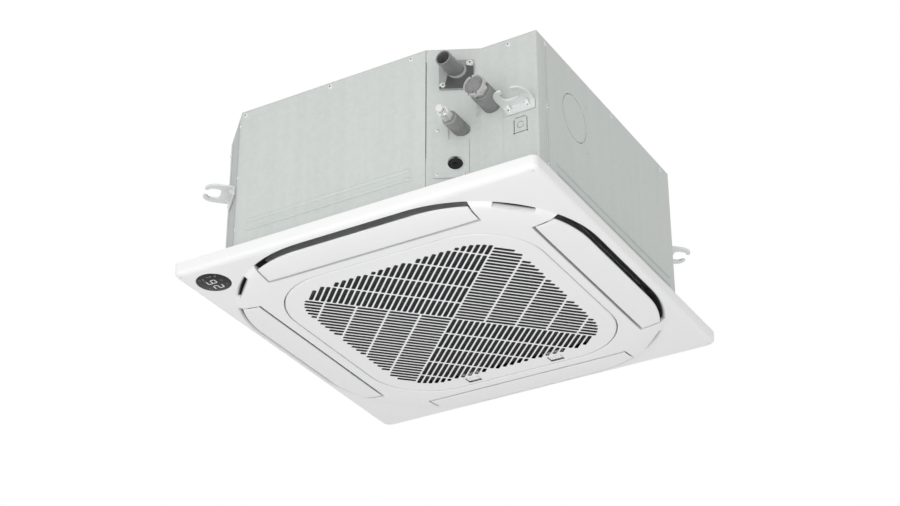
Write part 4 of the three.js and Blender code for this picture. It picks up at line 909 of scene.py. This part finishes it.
def stroke(x0, y0, x1, y1, width):
    """A flat bar between two points with pointed ends, as on a numeric display."""
    direction = Vector((x1 - x0, y1 - y0)).normalized()
    side = Vector((-direction.y, direction.x)) * width / 2
    start, end = Vector((x0, y0)), Vector((x1, y1))
    tip = direction * width / 2
    return [start - tip, start + side, end + side, end + tip, end - side, start - side]


def numeral(digit, centre):
    half_w, half_h = (NUMERAL_WIDTH - STROKE_WIDTH) / 2, (NUMERAL_HEIGHT - STROKE_WIDTH) / 2
    gap = STROKE_WIDTH * 0.62
    strokes = [
        (-half_w + gap, half_h, half_w - gap, half_h),
        (-half_w, half_h - gap, -half_w, gap),
        (half_w, half_h - gap, half_w, gap),
        (-half_w + gap, 0, half_w - gap, 0),
        (-half_w, -gap, -half_w, -half_h + gap),
        (half_w, -gap, half_w, -half_h + gap),
        (-half_w + gap, -half_h, half_w - gap, -half_h),
    ]
    lit = [stroke(*ends, STROKE_WIDTH) for ends, on in zip(strokes, NUMERALS[digit]) if on == "1"]
    return [[(x + centre[0], y + centre[1]) for x, y in outline] for outline in lit]


def build_display():
    lens = lathe(
        [(0, 10.35), (DISPLAY_RADIUS - 1.2, 10.35), (DISPLAY_RADIUS - 0.4, 10.6), (DISPLAY_RADIUS, 11.2),
         (DISPLAY_RADIUS, 12.8), (0, 12.8)], 96)
    piece("display_glass", moved(lens, Matrix.Translation((*DISPLAY, 0))), DISPLAY_BLACK,
          ["display_lens"], 30)
    # the numerals read towards -Y with their tops towards -X, seen from below
    turn = Matrix(((0, -1, 0, DISPLAY[0]), (-1, 0, 0, DISPLAY[1]), (0, 0, -1, 10.3), (0, 0, 0, 1)))
    bright = numeral("2", (-13.6, 0.2)) + numeral("6", (2.6, 2.2))
    digits = joined(*[prism(outline, -0.03, 0.06) for outline in bright])
    piece("display_numerals", moved(digits, turn),
          glowing("numeral_white", (0.72, 0.72, 0.70), 0.1))
    marks = [
        ring_outline((17.5, -3.5), 1.9, 0.7, 0.6, 5.6),
        ring_outline((14.9, 16.2), 2.1, 0.4, 0, 6.2),
        rectangle(13.4, 16.6, 8.1, 10.5, 0.4),
        rectangle(13.6, 16.8, -13.9, -11.5, 0.4),
        ring_outline((0.5, -14.4), 1.9, 0.5, 0, 6.2),
        rectangle(-13.8, -11.4, -16.6, -15.3, 0.3),
        rectangle(-14.6, -11.6, 15.4, 16.9, 0.3),
        stroke(17.0, -7.5, 19.6, -5.0, 0.6),
        stroke(17.0, -0.5, 20.0, 1.4, 0.6),
        ring_outline((9.6, 9.9), 1.0, 0.5, 0, 6.2),
    ]
    dim = joined(*[prism(outline, -0.03, 0.05) for outline in marks])
    piece("display_marks", moved(dim, turn),
          glowing("mark_grey", (0.20, 0.20, 0.20), 0.02))


# ---- casing


def embossed(edge, start, end, z):
    """A pressed rib with round ends, on a face."""
    half, height = RIB_WIDTH / 2, RIB_RISE
    rows = []
    for angle in quarter_turn(6):
        radius = half * (1 - 0.62 * math.sin(angle) ** 2)
        rise = height * math.sin(angle) - 0.3 * (1 - math.sin(angle))
        right = arc((end - half, z), radius, -math.pi / 2, math.pi / 2, 10)
        left = arc((start + half, z), radius, math.pi / 2, 3 * math.pi / 2, 10)
        rows.append([(x, y, rise) for x, y in right + left])
    return moved(skinned(rows, wrapped=False, capped=True), face_matrix(edge))


def dome(edge, u, z, radius, rise):
    """A small pressed boss on a face."""
    curve = [(radius * math.cos(a), rise * math.sin(a)) for a in quarter_turn(6)]
    return moved(lathe([(0, -0.4), (radius, -0.4), *curve], 28), face_matrix(edge, u, z))


def screw_head(matrix, radius, head):
    """A pan head on its washer."""
    profile = [
        (0, 0), (radius * 1.5, 0), (radius * 1.5, 0.35), (radius * 1.3, 0.55), (radius, 0.6),
        (radius, head * 0.6), (radius * 0.86, head * 0.88), (radius * 0.55, head), (0, head),
    ]
    return moved(lathe(profile, 32), matrix)


def painted_recess_shade(matrix, radius, head):
    """Painted shade for the cross and hole in the middle of a screw's head: a dark cross and disc laid on the
    head.
    """
    arm = radius * 0.62
    parts = [
        rod(radius * 0.36, head - 0.2, head + 0.04, 20),
        box((-arm, arm), (-0.3, 0.3), (head - 0.2, head + 0.02)),
        box((-0.3, 0.3), (-arm, arm), (head - 0.2, head + 0.02)),
    ]
    return moved(joined(*parts), matrix)


def screws(name, matrices, radius, head=1.6, finish=BRIGHT_ZINC):
    heads = joined(*[screw_head(matrix, radius, head) for matrix in matrices])
    piece(name, heads, finish)
    # painted shade: dark crosses and discs on the heads stand in for the shaded recesses
    recess_shades = joined(*[painted_recess_shade(matrix, radius, head) for matrix in matrices])
    piece(f"{name}_recesses", recess_shades, SCREW_RECESS_SHADE)


def face_screws(name, edge, places, lift=0.0, radius=2.7):
    screws(name, [face_matrix(edge, u, z, lift) for u, z in places], radius)


def screw_dimple(edge, u, z):
    """The pressed pocket round a screw at the casing's top edge."""
    profile = [(0, -0.4), (6.2, -0.4), (5.6, 0.25), (4.4, 0.55), (3.6, 0.2), (0, 0.2)]
    return moved(lathe(profile, 32), face_matrix(edge, u, z))


def build_side(side, edge, path, rib_ends, screws_at, extras=(), cuts=()):
    shell = wall(path)
    if cuts:
        shell = carve(shell, *cuts)
    pressed = [embossed(edge, *rib_ends, z) for z in RIB_ROWS]
    dimples = [screw_dimple(edge, u, SCREW_ROW) for u in screws_at]
    mesh = joined(shell, *pressed, *extras, *dimples)
    piece(f"casing_{side}", mesh, ZINC, [f"{side}_panel"], 30)


def score_arcs(edge, u, z, radius):
    """The round knock-out's score line, broken by its tabs."""
    tabs, tab, width = 8, 3.6, 1.1
    pitch, gap = 2 * math.pi / tabs, tab / radius / 2
    scores = []
    for i in range(tabs):
        outline = ring_outline((u, z), radius, width, i * pitch + gap, (i + 1) * pitch - gap, 10)
        scores.append(moved(prism(outline, -3, 1), face_matrix(edge)))
    return joined(*scores)


def build_casing():
    long_side = edge_length(BACK)
    long_ribs = (RIB_MARGIN, long_side - RIB_MARGIN)
    front_screws, right_screws = (7, 164, 308), (28, 250, 432)
    back_screws = (10, long_side / 2, long_side - 10)
    front_path = [before_end(FRONT_LEFT, LAP), OUTLINE[FRONT], OUTLINE[SLANTED]]
    build_side("front", FRONT, front_path, (RIB_MARGIN, 308), front_screws)
    right_path = [along_edge(RIGHT, 17.3), OUTLINE[BACK_RIGHT], along_edge(BACK_RIGHT, LAP)]
    bosses = [dome(RIGHT, u, z, 2.6, 0.9) for u in (78, 159) for z in (245, 162)]
    seams = [seam(RIGHT, (u, u + 2.2, 36, 287, 1), 0.5) for u in (24, 29)]
    build_side("right", RIGHT, right_path, (52, 444), right_screws, [*bosses, *seams],
               [score_arcs(RIGHT, FRESH_AIR_U, FRESH_AIR_Z, FRESH_AIR_RADIUS)])
    hidden_sides = (("back", BACK, BACK_RIGHT, BACK_LEFT), ("left", LEFT, BACK_LEFT, FRONT_LEFT))
    for side, edge, before, after in hidden_sides:
        path = [before_end(before, LAP), OUTLINE[edge], OUTLINE[after], along_edge(after, LAP)]
        build_side(side, edge, path, long_ribs, back_screws)
    # the corner panels take the darker copy of the sheet, which is painted shade
    for name, edge in CHAMFERS.items():
        size = edge_length(edge)
        flat = wall([along_edge(edge, LAP + 0.3), along_edge(edge, size - LAP - 0.3)])
        folds = [seam(edge, (u, u + 1.4, 40, 286, 0.6), 0.45) for u in (20, size - 21.4)]
        piece(f"casing_corner_{name}", joined(flat, *folds), ZINC_PAINTED_SHADE,
              [f"corner_panel_{name}"], 30)
    face_screws("front_screws", FRONT, [(u, SCREW_ROW) for u in front_screws])
    face_screws("right_screws", RIGHT, [*[(u, SCREW_ROW) for u in right_screws], (28, 172), (28, 70)])
    for side, edge in (("back", BACK), ("left", LEFT)):
        face_screws(f"{side}_screws", edge, [(u, SCREW_ROW) for u in back_screws])
    for name, edge in CHAMFERS.items():
        spots = [(u, z) for u in (6, edge_length(edge) - 6) for z in (268, 173, 80)]
        face_screws(f"corner_screws_{name}", edge, spots, 0, 2.2)


def wiring_scores():
    """The square knock-out's score lines with their corner holes and the ring in its middle."""
    deep = (-3, 1)
    row, column, line = 12.75, 10.5, 0.6
    columns = (WIRING_U - column, WIRING_U + column)
    rows = (WIRING_Z - row, WIRING_Z + row)
    scores = [box((WIRING_U - 8.5, WIRING_U + 8.5), (z - line, z + line), deep) for z in rows]
    for u in columns:
        scores.append(box((u - line, u + line), (WIRING_Z - 10.5, WIRING_Z + 10.5), deep))
        scores.append(moved(rod(1.5, *deep, 16), Matrix.Translation((u, WIRING_Z - row, 0))))
    scores.append(prism(ring_outline((WIRING_U, WIRING_Z), 5.2, 0.8, 0.4, 5.9, 22), *deep))
    return moved(joined(*scores), face_matrix(PIPING))


def build_piping_wall():
    path = [along_edge(SLANTED, 1.5), OUTLINE[PIPING], OUTLINE[RIGHT], along_edge(RIGHT, 17)]
    bore = moved(rod(12, -5, 5), face_matrix(SLANTED, PLUG_U, PLUG_Z))
    holes = [hole_tool(SLANTED, DRAIN_U, DRAIN_Z, 11.5), hole_tool(PIPING, GAS_U, GAS_Z, 8.4),
             hole_tool(SLANTED, LIQUID_U, LIQUID_Z, 5.2)]
    shell = carve(wall(path), bore, *holes, wiring_scores())
    screw_at = (46.5, 281)
    fold = seam(PIPING, (34.5, 36, 36, 164, 0.6), 0.35)
    clamp = seam(SLANTED, (73.5, 76.5, 170, 190, 1.2), 0.9)
    extras = [fold, clamp, screw_dimple(PIPING, *screw_at), dome(SLANTED, 78, 181, 2.2, 0.8)]
    piece("casing_piping", joined(shell, *extras), ZINC, ["piping_panel"], 30)
    face_screws("piping_screws", PIPING, [screw_at])


def inset_outline(distance):
    closed = OUTLINE[-1:] + OUTLINE + OUTLINE[:1]
    return offset_path(closed, distance)[1:-1]


def build_top():
    lid = bevelled(prism(OUTLINE, 289.8, CASING_TOP), 0.5)
    outer, inner = inset_outline(1.5), inset_outline(2.7)
    loops = ((outer, 270), (outer, 290), (inner, 290), (inner, 270))
    skirt = skinned([[(x, y, z) for x, y in loop] for loop, z in loops])
    # shallow pressed fields stiffen the sheet; they sink below its top face
    low, high = CASING_TOP - 0.55, CASING_TOP + 1
    spoke = rectangle(110, 250, -5, 5, 4.9)
    spokes = [turned(prism(spoke, low, high), angle) for angle in (45, 135, 225, 315)]
    ring = lathe([(92, low), (100, low), (100, high), (92, high)], 96, True)
    lid = carve(lid, ring, joined(*spokes))
    piece("casing_top", joined(lid, skirt), ZINC, ["top_plate"], 30)


# ---- hanger brackets


def bracket_outline():
    half = [(26, 0), (26, 27), (25, 33), (22.5, 38.5), (18.5, 42.5), (14, 44.6), (10, 45), (7.9, 44.2),
            (7.6, 41.5), (9.2, 38.6), (12.4, 36.8), (14, 33.5), (14, 24), (12.4, 20.8), (9, 19)]
    return half + [(-u, w) for u, w in half[::-1]]


def bracket_mesh():
    flat = plate([bracket_outline()], -3, 0, 0.4)
    flat.transform(Matrix.Rotation(math.radians(90), 4, "X"))
    flange = plate([rectangle(-26, 26, -13, 2.6, 2)], 0, 3, 0.4)
    gussets = [bar_x([(0.5, 2.5), (0.5, 9), (-6, 2.5)], u - 2.4, u + 2.4) for u in (-15, 15)]
    return joined(flat, flange, *gussets)


def build_brackets():
    places = [(name, edge, edge_length(edge) / 2) for name, edge in CHAMFERS.items()]
    places.append(("piping", PIPING, 63))
    for name, edge, u in places:
        matrix = face_matrix(edge, u, BRACKET_Z, 0.3)
        piece(f"hanger_{name}", moved(bracket_mesh(), matrix), BRIGHT_ZINC,
              [f"hanger_bracket_{name}"])
        spots = [face_matrix(edge, u + du, BRACKET_Z - 6, 3.3) for du in (-16, 16)]
        screws(f"hanger_screws_{name}", spots, 2.2, 1.3)


# ---- pipes and drain


def rounded_tube(outer, inner, start, end, edge_radius):
    r = edge_radius
    return [
        (inner, start), (outer, start), (outer, end - r), (outer - 0.3 * r, end - 0.3 * r), (outer - r, end),
        (inner + r, end), (inner + 0.3 * r, end - 0.3 * r), (inner, end - r),
    ]


def sleeve(pipe, place_at, outer, inner, length, edge_radius):
    profile = rounded_tube(outer, inner, -2 * outer, length, edge_radius)
    body = carve(along_minus_y(lathe(profile, 64, True), *place_at), behind_face(place_at[0], 0.3))
    piece(f"{pipe}_insulation", body, FOAM_GREY, [f"{pipe}_sleeve"])


def union_nut(pipe, place_at, radius, inner, start, length):
    nut = along_minus_y(hex_nut(radius, inner, start, length), *place_at)
    piece(f"{pipe}_union_nut", nut, BRASS, [f"{pipe}_flare_nut"], 30)


def hex_nut(radius, inner, start, length):
    nut = prism(circle(radius, 6), start, start + length)
    flat, full, end = radius * 0.87, radius * 1.02, start + length
    chamfer = lathe([(0, start - 1), (flat, start - 1), (flat, start), (full, start + 1.4), (full, end - 1.4),
                     (flat, end), (flat, end + 1), (0, end + 1)], 48)
    hole = rod(inner, start - 2, end + 2, 32)
    return bevelled(carve(carve(nut, chamfer, operation="INTERSECT"), hole), 0.25, 25)


def build_pipes():
    gas, liquid = (PIPING, GAS_U, GAS_Z), (SLANTED, LIQUID_U, LIQUID_Z)
    sleeve("gas", gas, 16.5, 6.65, 37.7, 1.2)
    sleeve("liquid", liquid, 12, 3.5, 35.7, 1.0)
    union_nut("gas", gas, 14, 6.65, 38, 12)
    union_nut("liquid", liquid, 9, 3.5, 36, 20)
    rim = lathe([(0, 50.3), (16.2, 50.3), (17, 51.1), (17, 56.4), (16.5, 57.2), (15.4, 57.2), (14.6, 56.2),
                 (14.2, 54), (0, 54)], 64)
    notches = [turned(box((14, 19), (-1.6, 1.6), (53.5, 58)), angle) for angle in (60, 105, 240, 285)]
    rim = along_minus_y(carve(rim, joined(*notches)), *gas)
    piece("gas_end_cap", rim, CAP_RIM, ["gas_cap"])
    face = lathe([(0, 53.8), (14.1, 53.8), (13.6, 55.2), (11.5, 54.7), (10.5, 54.5), (9.8, 55.4),
                  (5, 55.7), (0, 55.7)], 64)
    ridges = [turned(box((4, 13.5), (-0.8, 0.8), (54.2, 56.0)), angle) for angle in (15, 135, 255)]
    piece("gas_cap_face", along_minus_y(joined(face, *ridges), *gas), CAP_GREY)
    tip = lathe([(0, 56.3), (6.0, 56.3), (6.5, 56.8), (6.5, 58.6), (5.4, 59.0), (5.4, 60.4), (6.5, 60.8),
                 (6.5, 65.6), (5.8, 66.3), (0, 66.3)], 6)
    tip = along_minus_y(bevelled(tip, 0.3), *liquid)
    piece("liquid_end_cap", tip, CAP_WHITE, ["liquid_cap"])
    band = along_minus_y(rod(5.7, 59.1, 60.3, 6), *liquid)
    piece("liquid_cap_band", band, CHARCOAL)


def build_drain_outlet():
    """The flange that the drain pipe comes out of, dark over most of its face with its light grey left
    showing at the top and upper left as a painted reflection, the pipe and the flange's screws.
    """
    face, outlet = face_matrix(SLANTED), (SLANTED, DRAIN_U, DRAIN_Z)
    # the dark face is the flange's own colour; the light grey it leaves showing at the top and upper left is
    # a painted reflection
    dark_face_outline = [(20.8, 217.8), (71.2, 217.8), (71.2, 257), (61, 259), (57, 250), (34, 247), (29.5, 227),
               (20.8, 222)]
    dark = bevelled(moved(prism(dark_face_outline, 3.1, 3.9), face), 0.3)
    piece("drain_flange_body", carve(dark, hole_tool(*outlet, 12.8)), CHARCOAL)
    flange = moved(plate([rectangle(20, 72, 217, 269, 2.5)], 0.3, 3.3, 0.5), face)
    boss = moved(lathe([(0, -20), (16, -20), (16, 3.2), (14.4, 5.6), (0, 5.6)], 48), face_matrix(*outlet))
    collar = carve(carve(boss, behind_face(SLANTED, 0.6)), hole_tool(*outlet, 12.7))
    flange = joined(carve(flange, hole_tool(*outlet, 10)), collar)
    piece("drain_flange_plate", flange, FLANGE_REFLECTION_GREY, ["drain_flange"])
    pipe = lathe([(10, -30), (12.5, -30), (12.5, 39), (12.2, 40.4), (11.6, 41), (10.6, 41), (10, 40.4)],
                 64, True)
    pipe = carve(along_minus_y(pipe, *outlet), behind_face(SLANTED, 3.6))
    piece("drain_stub", pipe, PIPE_GREY, ["drain_pipe"])
    spots = [face_matrix(SLANTED, u, z, 3.2) for z in (223, 263) for u in (26, 66)]
    screws("drain_flange_screws", spots, 3.6, 2.4, CAP_WHITE)


def build_drain_access():
    """The small cover under the pipes, with the rubber plug in its lipped hole."""
    outline = [(12, 64), (64, 64), (64, 130), (34, 130), (34, 152), (12, 152)]
    cover = plate([outline, circle(11.6, 48, (PLUG_U, PLUG_Z))], 0.3, 1.5, 0.25)
    lip = lathe([(11.4, 1.3), (13.2, 1.3), (12.9, 2.2), (12.2, 2.5), (11.5, 2.2)], 64, True)
    cover = joined(cover, moved(lip, Matrix.Translation((PLUG_U, PLUG_Z, 0))))
    piece("drain_cover", moved(cover, face_matrix(SLANTED)), ZINC,
          ["drain_access_plate"])
    plug = lathe([(0, -15.5), (11, -15.5), (11, -1.9), (10.2, -1.5), (4.2, -1.5), (3.6, -4.5), (0, -4.5)], 64)
    piece("drain_stopper", moved(plug, face_matrix(SLANTED, PLUG_U, PLUG_Z)), RUBBER,
          ["drain_plug"])
    face_screws("cover_screws", SLANTED, [(18, 70), (18, 146), (58, 70)], 1.5, 1.8)


# ---- fan and air inlet


THROAT_Z = 88
# the fan's open eye, and how far its shroud flares out and up from there
EYE_RADIUS, SHROUD_FLARE, SHROUD_Z, SHROUD_RISE = 112, 53, 98, 26
BLADE_COUNT, BLADE_LOW, BLADE_HIGH = 7, 114, 209.5


def inlet_curve(outer, inner, low):
    """A quarter of an ellipse from the inlet's flange up into its throat."""
    wide, deep = outer - inner, THROAT_Z - low
    return [(outer - wide * math.sin(a), low + deep * (1 - math.cos(a))) for a in quarter_turn(20)]


def build_inlet():
    air, back = inlet_curve(150, 105, 40), inlet_curve(150, 107.5, 42.5)[::-1]
    mouth = lathe([*air, (105, 107.4), (105.6, 108), (107, 108), (107.5, 107.4), *back], 128, True)
    flange = plate([rounded_square(188, 58.5, 16), circle(149.6, 128)], 40, 42.5, 0.3)
    piece("inlet_bell", joined(mouth, flange), BLACK_PLASTIC, ["bell_mouth"], 30)


def shroud_curve(offset):
    points = []
    for angle in quarter_turn(16):
        radius = EYE_RADIUS + SHROUD_FLARE * (1 - math.cos(angle)) + offset * math.cos(angle)
        points.append((radius, SHROUD_Z + (SHROUD_RISE - offset) * math.sin(angle)))
    return points


def blade_foot(radius):
    """Where a blade's lower edge meets the shroud's inside; level over the eye."""
    if radius <= EYE_RADIUS:
        return BLADE_LOW
    share = 1 - (radius - EYE_RADIUS) / SHROUD_FLARE
    return max(BLADE_LOW, SHROUD_Z - 0.5 + SHROUD_RISE * math.sqrt(max(0.0, 1 - share**2)))


def blade_mesh(turn):
    """A swept blade, thickest in its middle."""
    steps, half = 14, 1.5
    rings = []
    for i in range(steps + 1):
        share = i / steps
        radius = 98 + 66 * share
        foot = blade_foot(radius)
        middle, thickness = turn - 0.75 * share**0.8, (1 - 0.6 * abs(2 * share - 1)) / radius
        inner, outer = middle - half * thickness, middle + half * thickness
        ring = ((inner, foot), (outer, foot), (outer, BLADE_HIGH), (inner, BLADE_HIGH))
        rings.append([(radius * math.cos(a), radius * math.sin(a), z) for a, z in ring])
    return skinned(rings, wrapped=False, capped=True)


def build_fan():
    shroud = lathe([*shroud_curve(0), *shroud_curve(2.5)[::-1]], 128, True)
    hub = lathe([(5.3, 165), (13.4, 165), (14, 165.6), (14, 182), (17, 185.2), (28, 185.5), (33, 187),
                 (71, 209), (164.4, 209), (165, 209.6), (165, 211), (164.4, 211.5), (70, 211.5), (27, 188),
                 (5.3, 188)], 96, True)
    blades = [blade_mesh(2 * math.pi * i / BLADE_COUNT) for i in range(BLADE_COUNT)]
    piece("fan_wheel", joined(shroud, hub, *blades), FAN_GREY, ["turbo_fan"], body="fan")
    nut = hex_nut(9, 5.3, 157.7, 7)
    piece("fan_hub_nut", nut, STEEL, ["fan_nut"], 30, "fan")
    shaft = lathe([(0, 152), (4.4, 152), (5, 152.6), (5, 240), (0, 240)], 32)
    piece("fan_shaft", shaft, STEEL, ["motor_shaft"], 30, "fan")
    can = lathe([(5.3, 208), (19.4, 208), (20, 208.6), (20, 214), (50, 214), (55, 215.2), (58, 219),
                 (58, 238), (59.5, 238.6), (59.5, 241.4), (58, 242), (58, 272), (55, 276), (0, 276),
                 (0, 240.3), (5.3, 240.3)], 96)
    piece("motor_can", can, MOTOR_PAINT, ["fan_motor"], 30)


# ---- everything kept from the solids

KEPT = {
    "display_board": BOARD_GREEN, "top_lining": FOAM_BLACK, "side_lining": FOAM_BLACK, "drain_pan": PAN_FOAM,
    "motor_mount": ZINC, "heat_exchanger": FINS, "coil_end_front": COPPER, "coil_end_right": COPPER,
    "drain_pump": PUMP_WHITE, "pump_bracket": ZINC, "drain_hose": HOSE_GREY, "float_stem": PUMP_WHITE,
    "float_ring": PUMP_WHITE, "gas_pipe": COPPER, "liquid_pipe": COPPER, "control_box": ZINC,
    "control_box_cover": ZINC, "control_board": BOARD_GREEN,
    **{f"louver_motor_{side}": CREAM for side in SIDES},
}


def dress_kept_nodes():
    for name, finish in KEPT.items():
        slots = nodes[name].data.materials
        slots.clear()
        slots.append(finish)


# ---- camera, light and stage

AZIMUTH, ELEVATION, ROLL = 29.847, -29.917, -0.174
CAMERA_AT = (1.3919, -2.4338, -1.4961)
SENSOR_WIDTH, LENS = 36, 81.815
WORLD_LEVEL = 0.6
FLOOR_Z, FLOOR_HALF, FLOOR_GLOW = -6.0, 9.0, 0.5


def build_camera():
    a, e, roll = (math.radians(v) for v in (AZIMUTH, ELEVATION, ROLL))
    back = Vector((math.sin(a) * math.cos(e), -math.cos(a) * math.cos(e), math.sin(e)))
    right = Vector((math.cos(a), math.sin(a), 0))
    up = back.cross(right)
    turned_right = right * math.cos(roll) + up * math.sin(roll)
    turned_up = up * math.cos(roll) - right * math.sin(roll)
    rotation = Matrix((turned_right, turned_up, back)).transposed().to_4x4()
    data = bpy.data.cameras.new("camera")
    data.sensor_width = SENSOR_WIDTH
    data.lens = LENS
    data.clip_start, data.clip_end = 0.05, 60
    camera = in_scene("camera", data)
    camera.matrix_world = Matrix.Translation(CAMERA_AT) @ rotation
    bpy.context.scene.camera = camera


def area_light(name, location, target, size, watts):
    data = bpy.data.lights.new(name, "AREA")
    data.size = size
    data.energy = watts
    lamp = in_scene(name, data)
    lamp.location = location
    direction = Vector(target) - Vector(location)
    lamp.rotation_euler = direction.to_track_quat("-Z", "Y").to_euler()


def seen_directly(tree):
    """1 for what the camera, a mirror or a glass sees; 0 for what lights the object."""
    rays = tree.nodes.new("ShaderNodeLightPath").outputs
    seen = rays["Is Camera Ray"]
    for kind in ("Is Glossy Ray", "Is Transmission Ray"):
        seen = math_node(tree, "ADD", seen, rays[kind])
    return math_node(tree, "MINIMUM", seen, 1.0)


def build_world():
    world = bpy.data.worlds.new("studio")
    bpy.context.scene.world = world
    world.use_nodes = True
    tree = world.node_tree
    level = spread(tree, seen_directly(tree), WORLD_LEVEL, 1.0)
    fill(tree, tree.nodes["Background"], {"Color": (1, 1, 1, 1), "Strength": level})


def build_stage():
    """A plain pale floor, in metres; where it is seen its glow lifts it to white."""
    corners = [(-1, -1), (1, -1), (1, 1), (-1, 1)]
    floor = mesh_from([(x * FLOOR_HALF, y * FLOOR_HALF, FLOOR_Z) for x, y in corners], [(0, 1, 2, 3)])
    paint, tree = new_material("floor_paint", (0.86, 0.86, 0.86), 0.9)
    tone = noise(tree, place(tree), 2, 2)
    set_shader(tree, {
        "Base Color": ramp(tree, tone, (0.855, 0.855, 0.855), (0.865, 0.865, 0.865)),
        "Emission Color": (1, 1, 1, 1),
        "Emission Strength": math_node(tree, "MULTIPLY", seen_directly(tree), FLOOR_GLOW),
    })
    floor.materials.append(paint)
    in_scene("floor", floor)


def build_lights():
    area_light("key", (0.2, -2.5, -0.7), (0, 0, 0.1), 2.2, 32)
    area_light("side", (2.6, 0.6, -0.2), (0, 0, 0.1), 2.0, 6)
    area_light("under", (0.5, -0.6, -1.7), (0, 0, 0), 1.2, 8)
    area_light("top", (-1.2, 0.8, 2.6), (0, 0, 0.1), 2.0, 14)


# ---- the scene

build_camera()
build_world()
build_stage()
build_lights()
build_panel()
build_louvers()
build_grille()
build_latches()
build_filter()
build_display()
build_casing()
build_piping_wall()
build_top()
build_brackets()
build_pipes()
build_drain_outlet()
build_drain_access()
build_inlet()
build_fan()
dress_kept_nodes()

settings = bpy.context.scene.view_settings
settings.view_transform = "Standard"
